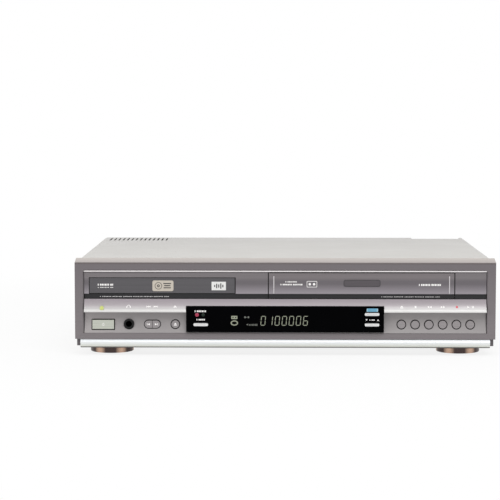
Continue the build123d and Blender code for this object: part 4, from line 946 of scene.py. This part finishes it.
brass = metal_gloss("brass", linear(206, 176, 104), 0.3).done()
scart_low, scart_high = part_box("scart_sockets")
scart_x, scart_z, contact_pitch = (scart_low.x + scart_high.x) / 2 / MM, (25.0, 44.0), 3.8
for number, z in enumerate(scart_z):
    contacts = [rect(scart_x + contact_pitch * (n - 4.5) + lean_x, z + row_step, 1.1, 1.7)
                for n in range(10) for row_step, lean_x in ((1.35, 0.9), (-1.35, -0.9))]
    printed(f"scart_contacts_{number}", contacts, SCART_D, 0.12, brass)
inlet_x, inlet_z = middle("power_inlet")[0], 28.0
for side in (-1, 1):
    turned(f"inlet_pin_{(side + 1) // 2}", [(0, 0.3), (1.25, 0.3), (1.25, 11.0), (0.9, 11.5), (0, 11.6)],
           at(inlet_x + side * 4.3, INLET_D, inlet_z), jack_pin, axis=BACK)
aerial_x, aerial_z = (17.0, 41.0), 38.0
for number, x in enumerate(aerial_x):
    turned(f"coax_insulator_{number}", [(1.25, 0.0), (1.25, 0.12), (3.3, 0.12), (3.3, 0.0)],
           at(x, AERIAL_D, aerial_z), finishes["tray_drive_gear"], axis=BACK)
rear_d = (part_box("rear_panel")[1].y - front) / MM
screw_back = (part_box("case_screws")[1].y - front) / MM
# Painted shade in the screws' cross recesses: a thin dark cross on each head
cross_shade = []
screw_x, screw_z = (-197.0, -8.0, 196.0), 90.0
for x in screw_x:
    cross_shade.append(rect(x, screw_z, 3.6, 0.8))
    cross_shade += [rect(x, screw_z + way * 1.1, 0.8, 1.4) for way in (1, -1)]
printed("screw_cross_shade", cross_shade, screw_back + 0.04, 0.08, painted_shade_dark)
rating_thick = 0.35
printed("rating_plate", [round_rect(-118.0, 66.0, 62.0, 24.0, 1.6)], rear_d + rating_thick, rating_thick,
        plate_beige, edge=0.1)

# ---------------------------------------------------------------------------
# Floor, light and camera
# ---------------------------------------------------------------------------
NEAR_FLOOR, FAR_FLOOR = 0.2, 0.8
NEAR_WHITE = 0.82
DIM_LIGHT = 0.6


def floor():
    """Pale floor that keeps a faint shadow near the player and runs out to plain white."""
    size = 12.0
    mesh = bpy.data.meshes.new("floor")
    corners = [(-size, -size, 0), (size, -size, 0), (size, size, 0), (-size, size, 0)]
    mesh.from_pydata(corners, [], [(0, 1, 2, 3)])
    plane = bpy.data.objects.new("floor", mesh)
    bpy.context.scene.collection.objects.link(plane)
    s = Surface("floor_paper", linear(248, 248, 248), 0.9, 0.0, 0.1)
    s.shade(s.noise(3), 0.004)
    material = s.done()
    away = s.node("ShaderNodeVectorMath", operation="LENGTH")
    s.link(s.place, away.inputs[0])
    far = s.range(away.outputs["Value"], NEAR_FLOOR, FAR_FLOOR, NEAR_WHITE, 1.0)
    rays = s.node("ShaderNodeLightPath")
    seen = s.math("MAXIMUM", rays.outputs["Is Camera Ray"], rays.outputs["Is Glossy Ray"])
    seen = s.math("MAXIMUM", seen, rays.outputs["Is Transmission Ray"])
    white = s.node("ShaderNodeEmission")
    white.inputs["Strength"].default_value = 1.0
    mix = s.node("ShaderNodeMixShader")
    s.link(s.math("MULTIPLY", far, seen), mix.inputs[0])
    s.link(s.shader.outputs[0], mix.inputs[1])
    s.link(white.outputs[0], mix.inputs[2])
    s.link(mix.outputs[0], s.tree.nodes["Material Output"].inputs["Surface"])
    plane.data.materials.append(material)


def world():
    """White where it is seen or mirrored, and a dimmer, even light on the player."""
    made = bpy.data.worlds.new("studio")
    made.use_nodes = True
    tree = made.node_tree
    back = tree.nodes["Background"]
    back.inputs["Color"].default_value = (1, 1, 1, 1)
    rays = tree.nodes.new("ShaderNodeLightPath")
    seen = rays.outputs["Is Camera Ray"]
    for other in ("Is Glossy Ray", "Is Transmission Ray"):
        both = tree.nodes.new("ShaderNodeMath")
        both.operation = "MAXIMUM"
        tree.links.new(seen, both.inputs[0])
        tree.links.new(rays.outputs[other], both.inputs[1])
        seen = both.outputs[0]
    strength = tree.nodes.new("ShaderNodeMapRange")
    strength.inputs["To Min"].default_value = DIM_LIGHT
    strength.inputs["To Max"].default_value = 1.0
    tree.links.new(seen, strength.inputs["Value"])
    tree.links.new(strength.outputs[0], back.inputs["Strength"])
    bpy.context.scene.world = made


def lamp(name, place, size, power):
    """A soft rectangular lamp aimed at the middle of the player."""
    target = (0, 0, 0.05)
    data = bpy.data.lights.new(name, "AREA")
    data.shape = "RECTANGLE"
    data.size, data.size_y = size
    data.energy = power
    made = bpy.data.objects.new(name, data)
    made.location = place
    made.rotation_euler = (Vector(target) - Vector(place)).to_track_quat("-Z", "Y").to_euler()
    bpy.context.scene.collection.objects.link(made)


def camera():
    """The photograph's view: a long lens, slightly to the left and above."""
    data = bpy.data.cameras.new("camera")
    data.sensor_width = 36
    data.lens = 128.92
    made = bpy.data.objects.new("camera", data)
    made.location = (-0.0102, front - 1.8189, 0.2599)
    heading = Vector((-0.01399, 0.99645, -0.08295))
    made.rotation_euler = heading.to_track_quat("-Z", "Y").to_euler()
    bpy.context.scene.collection.objects.link(made)
    bpy.context.scene.camera = made


floor()
world()
lamp("key", (0.5, -1.5, 1.8), (1.5, 1.0), 21)
lamp("fill", (-1.4, -1.1, 0.9), (1.2, 1.0), 8)
camera()
bpy.context.scene.view_settings.view_transform = "Standard"
